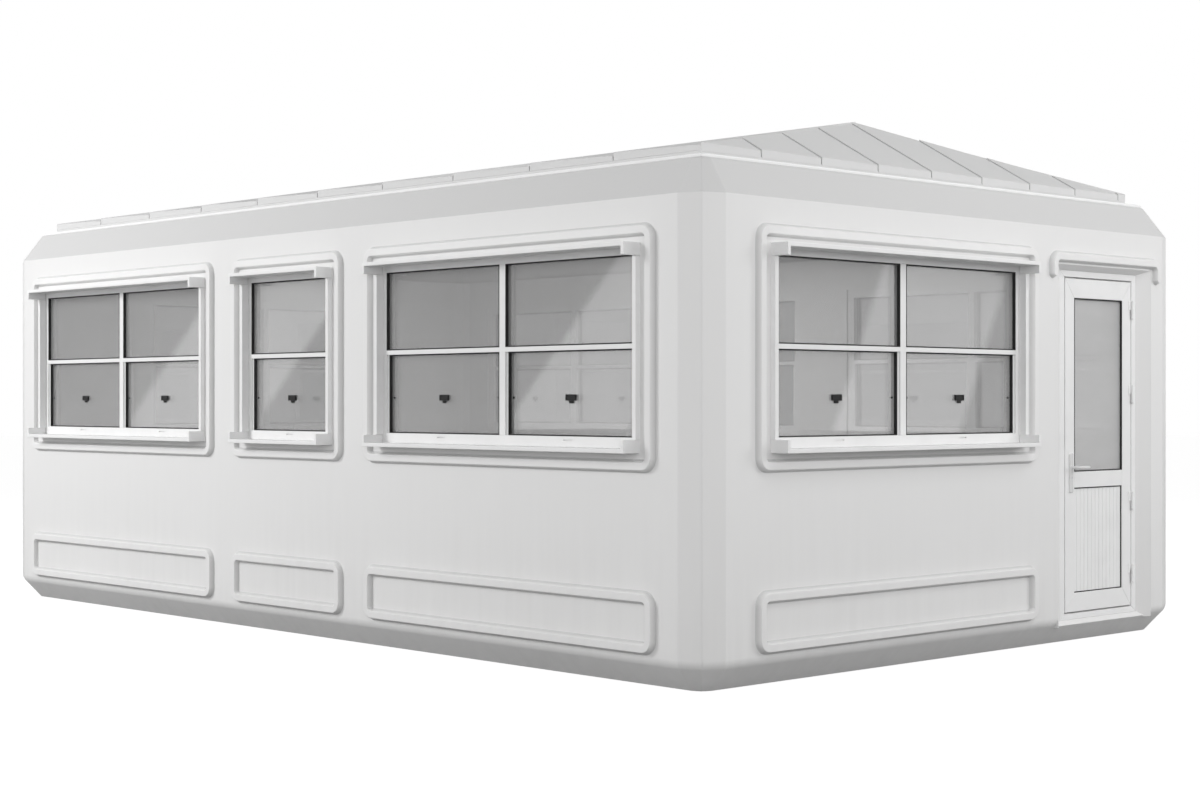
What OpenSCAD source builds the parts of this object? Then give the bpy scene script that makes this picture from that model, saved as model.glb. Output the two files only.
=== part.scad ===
// Moulded sandwich-panel kiosk cabin with serving windows on every side and one glazed door.
// X runs along the length, the three-window front faces -Y, the door end faces +X, Z is up.

/* [Shell] */
// Outside length, end wall to end wall
cabin_l = 6550; // [6300:10:8000]
// Outside width, front wall to back wall
cabin_w = 4000; // [3900:10:5000]
// Thickness of the sandwich walls
wall_t = 100; // [90:5:130]
// Length of each faceted corner along its two walls
corner_leg = 157; // [150:1:200]
// Height of the floor base and of its bevelled edge
floor_h = 127; // [110:1:150]
// How far the base stands in at the ground
base_inset = 115; // [60:1:130]
// Height of the top of the walls
wall_top = 2286; // [2250:1:2500]
// Height of the sloped cornice over the walls
cornice_h = 172; // [120:1:220]
// How far the cornice leans in at its top
cornice_inset = 122; // [60:1:130]

/* [Roof] */
// How far the eave lip stands in from the walls
lip_inset = 133; // [131:1:160]
// Thickness of the eave lip
lip_h = 20; // [12:1:40]
// How far the roof fascia stands in from the walls
fascia_inset = 212; // [170:1:240]
// Height of the roof fascia
fascia_h = 60; // [45:1:120]
// Thickness of the roof fascia
fascia_t = 40; // [25:1:60]
// Rise of the roof from eave to ridge
roof_rise = 312; // [200:1:500]
// Run of each hip end in plan
hip_run = 553; // [400:1:1200]
// Thickness of the roof panels
roof_t = 35; // [20:1:45]
// Height of the step where one strip laps the next on the long slopes
strip_step = 15; // [6:1:25]
// Height of that step on the hip ends
end_step = 5; // [3:1:20]
// Width of the joint at each lap
joint_w = 7; // [4:1:12]
// Depth of the joint at each lap
joint_d = 9; // [5:1:15]
// Width of the lapped strips on the long slopes
long_strip_w = 617; // [300:1:900]
// Width of the lapped strips on the hip ends
end_strip_w = 440; // [250:1:700]
// How far the laps on the hip ends lie from the ridge line
end_strip_shift = -50; // [-200:1:-20]

/* [Mouldings] */
// Width of the ribs moulded on the walls
rib_w = 56; // [44:1:64]
// Height of the ribs from the wall
rib_h = 28; // [15:1:35]
// Lean of each side of the ribs
rib_lean = 10; // [4:1:14]
// Rounding along the top edges of the ribs
rib_round = 5; // [2:1:7]
// Outer corner radius of the rib frames
rib_corner = 70; // [66:1:90]
// Outer width of the rib frame round the single window
single_w = 1086; // [900:1:1200]
// Clear wall between neighbouring rib frames
rib_gap = 210; // [120:1:240]
// Clear wall beyond the rib frames of the front and back
front_margin = 298; // [250:1:400]
// Clear wall beyond the rib frame of the left end
left_margin = 888; // [400:1:1000]
// Clear wall from the corner to the rib frame on the door end
end_margin = 357; // [300:1:400]
// Clear wall between that rib frame and the door hood
hood_gap = 126; // [100:1:200]
// Bottom of the window rib frames
window_rib_low = 1004; // [900:1:1010]
// Top of the window rib frames
window_rib_top = 2160; // [2150:1:2200]
// Bottom of the low panel frames
panel_low = 159; // [155:1:220]
// Top of the low panel frames
panel_top = 451; // [380:1:600]

/* [Windows] */
// From the outer edge of the rib frame to the glass at each side
glass_side = 157; // [150:1:180]
// Bottom edge of the glass
glass_low = 1164; // [1160:1:1200]
// Top edge of the glass
glass_top = 2021; // [1900:1:2025]
// Height of the window frame that shows under the glass
frame_foot = 51; // [40:1:55]
// Height of the window frame that shows over the glass
frame_head = 32; // [25:1:36]
// How far the window frame is set back from the wall face
frame_in = 19; // [5:1:22]
// Depth of the window frame in the wall
frame_depth = 70; // [60:1:75]
// Width of the upright between two lights
mullion_w = 46; // [30:1:70]
// Height of the meeting rail between upper and lower lights
rail_h = 24; // [18:1:40]
// Height of the middle of the meeting rail
rail_z = 1593; // [1500:1:1650]
// Depth of the glass behind the frame face
glass_d = 18; // [12:1:20]
// Width of the lower sash beside its glass
sash_w = 12; // [6:1:20]
// Depth of the lower sash behind the frame face
sash_d = 10; // [5:1:12]
// Thickness of the sealed glass units
glass_t = 20; // [6:1:24]
// Width of the black gasket round each light
gasket_w = 6; // [3:1:10]
// From the outer edge of the rib frame to the ends of hood and sill
casing_side = 104; // [90:1:110]
// How far the hoods and sills stand out from the wall
casing_out = 107; // [90:1:150]
// Thickness of the hood and sill boards
casing_t = 21; // [15:1:30]
// Thickness of the cheeks that end the hoods and sills
cheek_t = 20; // [14:1:30]
// Height of those cheeks, with the board
cheek_h = 62; // [50:1:90]
// Thickness of the plates beside each window
side_plate_t = 26; // [15:1:26]
// How far those plates stand out from the wall
side_plate_out = 27; // [20:1:60]
// Width of the black pull on each lower light
latch_w = 69; // [50:1:90]
// Height of the pull
latch_h = 31; // [20:1:40]
// Height of the middle of the pull
latch_z = 1352; // [1280:1:1450]

/* [Door] */
// Width of the doorway at the wall face
doorway_w = 930; // [900:5:1000]
// Clear wall from the doorway to the far corner
door_margin = 284; // [270:1:300]
// Top of the doorway at the wall face
doorway_top = 2082; // [2060:1:2095]
// Depth of the splayed reveal, face to door frame
reveal_d = 45; // [30:1:50]
// Width of the splay at each side of the reveal
reveal_splay = 85; // [60:1:95]
// Drop of the sloped soffit over the door
soffit_drop = 27; // [10:1:40]
// Width of the door frame members
door_frame_w = 45; // [40:1:50]
// Height of the threshold under the leaf
threshold_h = 33; // [25:1:45]
// Height of the door frame's head over the leaf
door_head_h = 35; // [25:1:50]
// Depth of the door frame
door_frame_d = 55; // [50:1:60]
// Clear gap round the leaf
door_gap = 8; // [7:0.5:10]
// Thickness of the door leaf
leaf_t = 44; // [40:1:46]
// Width of the leaf's stiles
stile_w = 88; // [80:1:110]
// Height of the leaf's top rail
top_rail_h = 107; // [80:1:130]
// Height of the leaf's bottom rail
bottom_rail_h = 104; // [80:1:150]
// Bottom edge of the door glass
door_glass_low = 943; // [930:1:1000]
// Height of the rail between the glass and the lower panel
mid_rail_h = 89; // [70:1:100]
// Boards in the ribbed lower panel
panel_boards = 13; // [8:1:18]
// Radius of the hinge barrels
hinge_r = 8; // [6:0.5:10]
// Height of each hinge
hinge_h = 105; // [80:1:130]
// Height of the lever's spindle
lever_z = 968; // [950:1:1000]
// Length of the lever
lever_l = 115; // [90:1:125]
// Height of the handle plates
plate_h = 218; // [190:1:240]
// Outer width of the rib hood over the door
hood_w = 1087; // [1060:1:1100]
// Top of the rib hood over the door
hood_top = 2150; // [2140:1:2180]
// Bottom of the hood's returns
hood_low = 2005; // [1980:1:2020]

/* [Hidden] */
$fn = 48;

// Shell places
half_l = cabin_l / 2;
half_w = cabin_w / 2;
facet_turn = 22.5;
cornice_top = wall_top + cornice_h;
lip_top = cornice_top + lip_h;
eave_z = lip_top + fascia_h;
// Depth of the cuts that split the cornice at its mitres
mitre_spare = 20;
mitre_reach = cornice_inset + wall_t + mitre_spare;
// Overshoot of cutting shapes
cut = 5;

// Window places, each window as [centre along its wall, rib frame width, columns of lights]
double_w = (cabin_l - single_w) / 2 - rib_gap - front_margin;
double_at = (single_w + double_w) / 2 + rib_gap;
left_w = cabin_w - 2 * left_margin;
end_w = cabin_w - end_margin - hood_gap - hood_w / 2 - doorway_w / 2 - door_margin;
long_windows = [[-double_at, double_w, 2], [0, single_w, 1], [double_at, double_w, 2]];
left_windows = [[0, left_w, 2]];
right_windows = [[end_margin + end_w / 2 - half_w, end_w, 2]];
frame_low = glass_low - frame_foot;
frame_top = glass_top + frame_head;
casing_low = frame_low - casing_t;
casing_top = frame_top + casing_t;
light_rows = [[glass_low, rail_z - rail_h / 2], [rail_z + rail_h / 2, glass_top]];
// Pull, stops and drain slots of the lower lights
latch_out = 13;
tab_w = 28;
tab_h = 13;
tab_out = 8;
stop_r = 6;
stop_in = 24;
stop_out = 7;
drain_w = 65;
drain_h = 5;
drain_drop = 16;
drain_d = 8;

// Door places, along the right wall from its middle and from the wall face inwards
door_at = half_w - door_margin - doorway_w / 2;
door_frame_half = doorway_w / 2 - reveal_splay;
door_frame_top = doorway_top - soffit_drop;
leaf_half = door_frame_half - door_frame_w - door_gap;
leaf_low = floor_h + threshold_h + door_gap;
leaf_top = door_frame_top - door_head_h - door_gap;
leaf_back = reveal_d + leaf_t;
door_glass_half = leaf_half - stile_w;
door_glass_rows = [door_glass_low, leaf_top - top_rail_h];
door_panel_rows = [leaf_low + bottom_rail_h, door_glass_low - mid_rail_h];
door_glass_d = 12;
door_panel_d = 10;
door_panel_t = 24;
groove_d = 4;
// Hinges and handle
hinge_z = [350, 764, 1375, 1855];
hinge_at = leaf_half + door_gap / 2;
hinge_lift = 2;
hinge_out = hinge_r + hinge_lift;
hinge_plate_t = 3;
hinge_plate_w = 30;
hinge_slit = 1;
pin_r = 4;
pin_clear = 0.3;
lever_in = 52;
lever_at = lever_in - leaf_half;
plate_w = 32;
plate_t = 8;
plate_round = 7;
plate_drop = 140;
plate_low = lever_z - plate_drop;
neck_r = 9;
neck_l = 42;
bar_r = 8;
bend_r = 16;
tip_r = 6;
lever_clear = 0.4;
keyhole_drop = 57;
keyhole_r = 4;

// Length of a corner facet pair after the outline has moved in by inset
function facet_leg(inset) = corner_leg - inset * (1 - tan(facet_turn / 2));
function ridge_in(leg) = leg * (1 - sqrt(0.5));

// Outline of the shell, two facets at each corner, moved in by inset
function outline(inset) =
    let (hx = half_l - inset, hy = half_w - inset, leg = facet_leg(inset), k = ridge_in(leg))
    [[hx, hy - leg], [hx - k, hy - k], [hx - leg, hy],
     [leg - hx, hy], [k - hx, hy - k], [-hx, hy - leg],
     [-hx, leg - hy], [k - hx, k - hy], [leg - hx, -hy],
     [hx - leg, -hy], [hx - k, k - hy], [hx, leg - hy]];

// Plain rectangle of the room, moved in by inset
function room(inset) =
    let (hx = half_l - inset, hy = half_w - inset)
    [[hx, hy], [-hx, hy], [-hx, -hy], [hx, -hy]];

// Spans of the columns of lights in a window
function light_columns(w) =
    let (g = w[1] / 2 - glass_side)
    w[2] == 2 ? [[-g, -mullion_w / 2], [mullion_w / 2, g]] : [[-g, g]];

// Lights of a window as [columns, rows, depth of the frame round them, depth of the glass]
function upper_lights(w) =
    [for (c = light_columns(w)) [c, light_rows[1], frame_in, frame_in + glass_d]];
function lower_lights(w) =
    [for (c = light_columns(w))
        [[c[0] + sash_w, c[1] - sash_w], light_rows[0], frame_in + sash_d, frame_in + sash_d + glass_d]];
function lights(w) = concat(upper_lights(w), lower_lights(w));
function middle(span) = (span[0] + span[1]) / 2;

// Half width of a window opening, which frame and casing fill together
function casing_half(w) = w[1] / 2 - casing_side;

// Solid between two outlines at two heights
module taper(low, z_low, high, z_high) {
    n = len(low);
    sides = [for (i = [0:n - 1]) [i, n + i, n + (i + 1) % n, (i + 1) % n]];
    bottom = [for (i = [0:n - 1]) i];
    top = [for (i = [n - 1:-1:0]) n + i];
    polyhedron(
        points = concat([for (p = low) [p[0], p[1], z_low]], [for (p = high) [p[0], p[1], z_high]]),
        faces = concat([bottom, top], sides));
}

// Box from spans along x, y and z
module box(x, y, z) {
    translate([x[0], y[0], z[0]])
        cube([x[1] - x[0], y[1] - y[0], z[1] - z[0]]);
}

// Puts a wall's own frame in the cabin: x along the wall, y inwards from its face
module on_front() { translate([0, -half_w, 0]) children(); }
module on_back() { rotate([0, 0, 180]) translate([0, -half_w, 0]) children(); }
module on_left() { rotate([0, 0, -90]) translate([0, -half_l, 0]) children(); }
module on_right() { rotate([0, 0, 90]) translate([0, -half_l, 0]) children(); }
module on_door() { on_right() translate([door_at, 0, 0]) children(); }

// Turns a shape drawn flat so that it stands on the wall face
module upright() { rotate([90, 0, 0]) children(); }

// Profile drawn as [depth, height] and run along the wall from x0 to x1
module run_along(x0, x1) {
    translate([x0, 0, 0])
        rotate([90, 0, 90])
            linear_extrude(x1 - x0)
                children();
}

// Section of a wall rib: leaning sides and rounded top edges, standing on y = 0
function rib_side() =
    let (tilt = atan(rib_lean / rib_h), top = rib_h - rib_round,
         x = (rib_w / 2 * cos(tilt) - rib_round - top * sin(tilt)) / cos(tilt), steps = 3)
    [for (i = [0:steps])
        let (turn = tilt + (90 - tilt) * i / steps)
        [x + rib_round * cos(turn), top + rib_round * sin(turn)]];
function flipped(points) = [for (i = [len(points) - 1:-1:0]) [-points[i][0], points[i][1]]];
module rib_section() {
    polygon(concat([[-rib_w / 2, 0], [rib_w / 2, 0]], rib_side(), flipped(rib_side())));
}
// Lengths, bends and ends of rib, drawn on a flat face
module rib_across(length) { rotate([90, 0, 90]) linear_extrude(length) rib_section(); }
module rib_up(length) { rotate([90, 0, 180]) linear_extrude(length) rib_section(); }
module rib_bend() {
    rotate_extrude(angle = 90)
        translate([rib_corner - rib_w / 2, 0])
            rib_section();
}
module rib_end() {
    rotate([0, 0, 180])
        rotate_extrude(angle = 180)
            polygon(concat([[0, 0], [rib_w / 2, 0]], rib_side(), [[0, rib_h]]));
}

// Closed rib frame of outer width w from z_low to z_top on a wall
module rib_frame(w, z_low, z_top) {
    bend = rib_corner - rib_w / 2;
    hx = w / 2 - rib_corner;
    hy = (z_top - z_low) / 2 - rib_corner;
    translate([0, 0, (z_low + z_top) / 2])
        upright() {
            for (side = [0, 180])
                rotate([0, 0, side]) {
                    translate([-hx, hy + bend, 0]) rib_across(2 * hx);
                    translate([hx + bend, -hy, 0]) rib_up(2 * hy);
                    translate([hx, hy, 0]) rib_bend();
                    translate([-hx, hy, 0]) rotate([0, 0, 90]) rib_bend();
                }
        }
}

// Plain wall slab with its window openings
module wall_slab(half, windows) {
    difference() {
        box([corner_leg - half, half - corner_leg], [0, wall_t], [floor_h, wall_top]);
        window_openings(windows);
    }
}

module window_openings(windows) {
    for (w = windows)
        translate([w[0], 0, 0])
            box([-casing_half(w), casing_half(w)], [-cut, wall_t + cut], [casing_low, casing_top]);
}

// Plan of the doorway between its splayed reveals
module doorway_plan() {
    face = doorway_w / 2;
    polygon([[-face, 0], [face, 0], [door_frame_half, reveal_d], [door_frame_half, wall_t],
             [-door_frame_half, wall_t], [-door_frame_half, reveal_d]]);
}

// Rib frames round the windows and the low panels of one wall
module mouldings(windows) {
    for (w = windows)
        translate([w[0], 0, 0]) {
            rib_frame(w[1], window_rib_low, window_rib_top);
            rib_frame(w[1], panel_low, panel_top);
        }
}

// Window frame with its lights, the recess of the lower sash and a drain slot under each light
module window_frames(windows) {
    back = frame_in + frame_depth;
    for (w = windows)
        translate([w[0], 0, 0])
            difference() {
                box([-casing_half(w), casing_half(w)], [frame_in, back], [casing_low, casing_top]);
                for (light = lights(w))
                    box(light[0], [0, back + cut], light[1]);
                for (column = light_columns(w)) {
                    box(column, [0, frame_in + sash_d], light_rows[0]);
                    translate([middle(column), frame_in, glass_low - drain_drop])
                        box([-drain_w / 2, drain_w / 2], [-cut, drain_d], [-drain_h, 0]);
                }
            }
}

module window_glass(windows) {
    for (w = windows)
        translate([w[0], 0, 0])
            for (light = lights(w))
                box(light[0], [light[3], light[3] + glass_t], light[1]);
}

module gaskets(windows) {
    for (w = windows)
        translate([w[0], 0, 0])
            for (light = lights(w))
                gasket_ring(light[0], light[1], light[2], light[3]);
}

// Black lining in front of one pane
module gasket_ring(column, row, face, glass) {
    difference() {
        box(column, [face, glass], row);
        box([column[0] + gasket_w, column[1] - gasket_w], [face - cut, glass + cut],
            [row[0] + gasket_w, row[1] - gasket_w]);
    }
}

// Pull in the middle of each lower light and a stop at each side, seated on the glass
module latches(windows) {
    for (w = windows)
        translate([w[0], 0, 0])
            for (light = lower_lights(w))
                translate([middle(light[0]), light[3], latch_z]) {
                    box([-latch_w / 2, latch_w / 2], [-latch_out, 0], [-latch_h / 2, latch_h / 2]);
                    box([-tab_w / 2, tab_w / 2], [-tab_out, 0], [-latch_h / 2 - tab_h, -latch_h / 2]);
                    reach = (light[0][1] - light[0][0]) / 2 - stop_in;
                    for (x = [-reach, reach])
                        translate([x, 0, 0])
                            rotate([90, 0, 0])
                                cylinder(h = stop_out, r = stop_r);
                }
}

// Hood board with its hanging cheeks, let into the opening as far as the frame
module hoods(windows) {
    for (w = windows)
        translate([w[0], 0, 0]) {
            half = casing_half(w);
            box([-half, half], [-casing_out, frame_in], [frame_top, casing_top]);
            for (x = [-half, half - cheek_t])
                box([x, x + cheek_t], [-casing_out, frame_in], [casing_top - cheek_h, casing_top]);
        }
}

// Sill board with its rising cheeks
module sills(windows) {
    for (w = windows)
        translate([w[0], 0, 0]) {
            half = casing_half(w);
            box([-half, half], [-casing_out, frame_in], [casing_low, frame_low]);
            for (x = [-half, half - cheek_t])
                box([x, x + cheek_t], [-casing_out, frame_in], [casing_low, casing_low + cheek_h]);
        }
}

// Plates that line the opening between the cheeks of hood and sill
module side_plates(windows) {
    for (w = windows)
        translate([w[0], 0, 0]) {
            half = casing_half(w);
            for (x = [-half, half - side_plate_t])
                box([x, x + side_plate_t], [-side_plate_out, frame_in],
                    [casing_low + cheek_h, casing_top - cheek_h]);
        }
}

// Repeats a window trim on all four sides
module on_all_walls() {
    on_front() children(0);
    on_back() children(0);
    on_left() children(1);
    on_right() children(2);
}

// One mitred side of the cornice
module cornice_shell() {
    difference() {
        taper(outline(0), wall_top, outline(cornice_inset), cornice_top);
        taper(room(wall_t), wall_top, room(wall_t + cornice_inset), cornice_top);
    }
}
module mitre_wedge(half) {
    translate([0, 0, wall_top - cut])
        linear_extrude(cornice_h + 2 * cut)
            polygon([[-half, 0], [half, 0], [half - mitre_reach, mitre_reach],
                     [mitre_reach - half, mitre_reach]]);
}

// Lapped roof slope with its fascia, over a plan drawn from the eave inwards
module roof_slope(eave_half, run, strip_w, shift, step) {
    pitch = atan(roof_rise / run);
    length = run / cos(pitch);
    first = floor((-eave_half - shift) / strip_w);
    last = ceil((eave_half - shift) / strip_w);
    joint = [[joint_w / 2, step / 2], [joint_w / 2, -joint_d], [-joint_w / 2, -joint_d],
             [-joint_w / 2, -step / 2]];
    laps = [for (i = [last:-1:first], p = joint) [shift + i * strip_w + p[0], p[1]]];
    low_corners = [[laps[len(laps) - 1][0], -roof_t], [laps[0][0], -roof_t]];
    intersection() {
        translate([0, fascia_inset, lip_top])
            linear_extrude(fascia_h + roof_rise + step)
                children();
        union() {
            translate([0, fascia_inset, eave_z])
                rotate([pitch + 90, 0, 0])
                    translate([0, 0, -length - roof_t])
                        linear_extrude(length + 2 * roof_t)
                            polygon(concat(low_corners, laps));
            box([-eave_half, eave_half], [fascia_inset, fascia_inset + fascia_t],
                [lip_top, eave_z - joint_d]);
        }
    }
}
module long_slope() {
    eave_half = half_l - fascia_inset;
    ridge_half = eave_half - hip_run;
    run = half_w - fascia_inset;
    roof_slope(eave_half, run, long_strip_w, 0, strip_step)
        polygon([[-eave_half, 0], [eave_half, 0], [ridge_half, run], [-ridge_half, run]]);
}
module hip_slope() {
    eave_half = half_w - fascia_inset;
    roof_slope(eave_half, hip_run, end_strip_w, end_strip_shift, end_step)
        polygon([[-eave_half, 0], [eave_half, 0], [0, hip_run]]);
}

// Shell

module floor_base() {
    color("gainsboro")
        difference() {
            taper(outline(base_inset), 0, outline(0), floor_h);
            on_door()
                run_along(-doorway_w / 2, doorway_w / 2)
                    polygon([[reveal_d, floor_h], [-cut, floor_h], [-cut, floor_h - reveal_d - cut]]);
        }
}

module front_wall() { color("whitesmoke") on_front() wall_slab(half_l, long_windows); }
module back_wall() { color("whitesmoke") on_back() wall_slab(half_l, long_windows); }
module left_wall() { color("whitesmoke") on_left() wall_slab(half_w, left_windows); }

module right_wall() {
    color("whitesmoke")
        on_right()
            difference() {
                box([corner_leg - half_w, door_at], [0, wall_t], [floor_h, wall_top]);
                window_openings(right_windows);
                translate([door_at, 0, floor_h - cut])
                    linear_extrude(wall_top - floor_h + 2 * cut)
                        doorway_plan();
            }
}

module door_pier() {
    color("whitesmoke")
        on_right()
            difference() {
                box([door_at, half_w - corner_leg], [0, wall_t], [floor_h, wall_top]);
                translate([door_at, 0, floor_h - cut])
                    linear_extrude(wall_top - floor_h + 2 * cut)
                        doorway_plan();
            }
}

module door_lintel() {
    color("whitesmoke")
        on_door()
            intersection() {
                translate([0, 0, door_frame_top])
                    linear_extrude(wall_top - door_frame_top)
                        doorway_plan();
                run_along(-doorway_w, doorway_w)
                    polygon([[0, doorway_top], [reveal_d, door_frame_top], [wall_t, door_frame_top],
                             [wall_t, wall_top], [0, wall_top]]);
            }
}

module corner_posts() {
    k = ridge_in(corner_leg);
    color("whitesmoke")
        for (mx = [0, 1], my = [0, 1])
            mirror([mx, 0, 0])
                mirror([0, my, 0])
                    translate([-half_l, -half_w, floor_h])
                        linear_extrude(wall_top - floor_h)
                            polygon([[corner_leg, 0], [corner_leg, wall_t], [wall_t, wall_t],
                                     [wall_t, corner_leg], [0, corner_leg], [k, k]]);
}

module front_cornice() { color("gainsboro") intersection() { cornice_shell(); on_front() mitre_wedge(half_l); } }
module back_cornice() { color("gainsboro") intersection() { cornice_shell(); on_back() mitre_wedge(half_l); } }
module left_cornice() { color("gainsboro") intersection() { cornice_shell(); on_left() mitre_wedge(half_w); } }
module right_cornice() { color("gainsboro") intersection() { cornice_shell(); on_right() mitre_wedge(half_w); } }

module eave_lip() {
    color("white")
        translate([0, 0, cornice_top])
            linear_extrude(lip_h)
                polygon(outline(lip_inset));
}

module front_roof() { color("lightgray") on_front() long_slope(); }
module back_roof() { color("lightgray") on_back() long_slope(); }
module left_roof() { color("lightgray") on_left() hip_slope(); }
module right_roof() { color("lightgray") on_right() hip_slope(); }

// Wall trim and windows

module front_mouldings() { color("white") on_front() mouldings(long_windows); }
module back_mouldings() { color("white") on_back() mouldings(long_windows); }
module left_mouldings() { color("white") on_left() mouldings(left_windows); }
module right_mouldings() { color("white") on_right() mouldings(right_windows); }

module front_window_frames() { color("white") on_front() window_frames(long_windows); }
module back_window_frames() { color("white") on_back() window_frames(long_windows); }
module left_window_frame() { color("white") on_left() window_frames(left_windows); }
module right_window_frame() { color("white") on_right() window_frames(right_windows); }

module front_glass() { color("darkgray", 0.5) on_front() window_glass(long_windows); }
module back_glass() { color("darkgray", 0.5) on_back() window_glass(long_windows); }
module left_glass() { color("darkgray", 0.5) on_left() window_glass(left_windows); }
module right_glass() { color("darkgray", 0.5) on_right() window_glass(right_windows); }

module window_hoods() {
    color("white")
        on_all_walls() {
            hoods(long_windows);
            hoods(left_windows);
            hoods(right_windows);
        }
}

module window_sills() {
    color("white")
        on_all_walls() {
            sills(long_windows);
            sills(left_windows);
            sills(right_windows);
        }
}

module window_side_plates() {
    color("white")
        on_all_walls() {
            side_plates(long_windows);
            side_plates(left_windows);
            side_plates(right_windows);
        }
}

module window_gaskets() {
    color("black")
        on_all_walls() {
            gaskets(long_windows);
            gaskets(left_windows);
            gaskets(right_windows);
        }
}

module window_latches() {
    color("black")
        on_all_walls() {
            latches(long_windows);
            latches(left_windows);
            latches(right_windows);
        }
}

// Door

module door_hood() {
    hx = hood_w / 2 - rib_corner;
    top = hood_top - rib_corner;
    bend = rib_corner - rib_w / 2;
    foot = hood_low + rib_w / 2;
    color("white")
        on_door()
            upright() {
                translate([-hx, hood_top - rib_w / 2, 0]) rib_across(2 * hx);
                translate([hx, top, 0]) rib_bend();
                translate([-hx, top, 0]) rotate([0, 0, 90]) rib_bend();
                for (x = [-hx - bend, hx + bend])
                    translate([x, foot, 0]) {
                        rib_up(top - foot);
                        rib_end();
                    }
            }
}

module door_frame() {
    inner = door_frame_half - door_frame_w;
    color("white")
        on_door()
            difference() {
                box([-door_frame_half, door_frame_half], [reveal_d, reveal_d + door_frame_d],
                    [floor_h, door_frame_top]);
                box([-inner, inner], [reveal_d - cut, wall_t + cut],
                    [floor_h + threshold_h, leaf_top + door_gap]);
            }
}

module door_leaf() {
    color("white")
        on_door()
            difference() {
                box([-leaf_half, leaf_half], [reveal_d, leaf_back], [leaf_low, leaf_top]);
                for (row = [door_glass_rows, door_panel_rows])
                    box([-door_glass_half, door_glass_half], [reveal_d - cut, leaf_back + cut], row);
                spindle_bore(reveal_d, leaf_back, neck_r + lever_clear);
            }
}

module spindle_bore(y0, y1, r) {
    translate([lever_at, y0 - cut, lever_z])
        rotate([-90, 0, 0])
            cylinder(h = y1 - y0 + 2 * cut, r = r);
}

module door_glass() {
    color("darkgray", 0.5)
        on_door()
            box([-door_glass_half, door_glass_half],
                [reveal_d + door_glass_d, reveal_d + door_glass_d + glass_t], door_glass_rows);
}

module door_panel() {
    board_w = 2 * door_glass_half / panel_boards;
    grooves = [for (i = [panel_boards:-1:0])
        [-door_glass_half + i * board_w, door_panel_d + (i % 2) * groove_d]];
    back = door_panel_d + door_panel_t;
    color("white")
        on_door()
            translate([0, reveal_d, door_panel_rows[0]])
                linear_extrude(door_panel_rows[1] - door_panel_rows[0])
                    polygon(concat([[-door_glass_half, back], [door_glass_half, back]], grooves));
}

module door_gasket() {
    color("black")
        on_door()
            translate([0, reveal_d, 0])
                gasket_ring([-door_glass_half, door_glass_half], door_glass_rows, 0, door_glass_d);
}

// Lower half of each hinge, with its pin, on the frame
module frame_hinges() {
    color("silver")
        on_door()
            for (z = hinge_z)
                translate([hinge_at, reveal_d - hinge_out, z - hinge_h / 2]) {
                    cylinder(h = hinge_h / 2 - hinge_slit, r = hinge_r);
                    cylinder(h = hinge_h - 2 * hinge_slit, r = pin_r);
                    box([0, hinge_plate_w], [hinge_out - hinge_plate_t, hinge_out],
                        [0, hinge_h / 2 - hinge_slit]);
                }
}

// Upper half of each hinge, bored for the pin, on the leaf
module leaf_hinges() {
    color("silver")
        on_door()
            for (z = hinge_z)
                translate([hinge_at, reveal_d - hinge_out, z])
                    difference() {
                        union() {
                            cylinder(h = hinge_h / 2, r = hinge_r);
                            box([-hinge_plate_w, 0], [hinge_out - hinge_plate_t, hinge_out], [0, hinge_h / 2]);
                        }
                        translate([0, 0, -cut]) cylinder(h = hinge_h, r = pin_r + pin_clear);
                    }
}

// Plate with rounded corners on the leaf, from depth y to y + plate_t
module rounded_plate(y) {
    half = plate_w / 2;
    top = plate_low + plate_h;
    translate([lever_at, y, 0]) {
        box([plate_round - half, half - plate_round], [0, plate_t], [plate_low, top]);
        box([-half, half], [0, plate_t], [plate_low + plate_round, top - plate_round]);
        for (x = [plate_round - half, half - plate_round], z = [plate_low + plate_round, top - plate_round])
            translate([x, 0, z])
                rotate([-90, 0, 0])
                    cylinder(h = plate_t, r = plate_round);
    }
}

module handle_plates() {
    color("silver")
        on_door()
            difference() {
                for (y = [reveal_d - plate_t, leaf_back])
                    rounded_plate(y);
                spindle_bore(reveal_d - plate_t, leaf_back + plate_t, neck_r + lever_clear);
                translate([0, 0, -keyhole_drop])
                    spindle_bore(reveal_d - plate_t, leaf_back + plate_t, keyhole_r);
            }
}

// Lever arm that leaves the door along -y, bends, and tapers along x to a rounded tip
module lever_arm() {
    grip_l = lever_l - bend_r - tip_r;
    translate([0, bend_r - neck_l, 0])
        rotate([-90, 0, 0])
            cylinder(h = neck_l - bend_r, r = bar_r);
    translate([bend_r, bend_r - neck_l, 0])
        rotate([0, 0, 180])
            rotate_extrude(angle = 90)
                translate([bend_r, 0])
                    circle(r = bar_r);
    translate([bend_r, -neck_l, 0])
        rotate([0, 90, 0]) {
            cylinder(h = grip_l, r1 = bar_r, r2 = tip_r);
            translate([0, 0, grip_l])
                rotate_extrude()
                    intersection() {
                        circle(r = tip_r);
                        square(tip_r);
                    }
        }
}

// Lever on each face, on one spindle
module door_lever() {
    outer = reveal_d - plate_t;
    inner = leaf_back + plate_t;
    color("silver")
        on_door()
            translate([lever_at, 0, lever_z]) {
                translate([0, outer, 0])
                    rotate([-90, 0, 0])
                        cylinder(h = inner - outer, r = neck_r);
                translate([0, outer, 0]) lever_arm();
                translate([0, inner, 0]) mirror([0, 1, 0]) lever_arm();
            }
}

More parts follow.
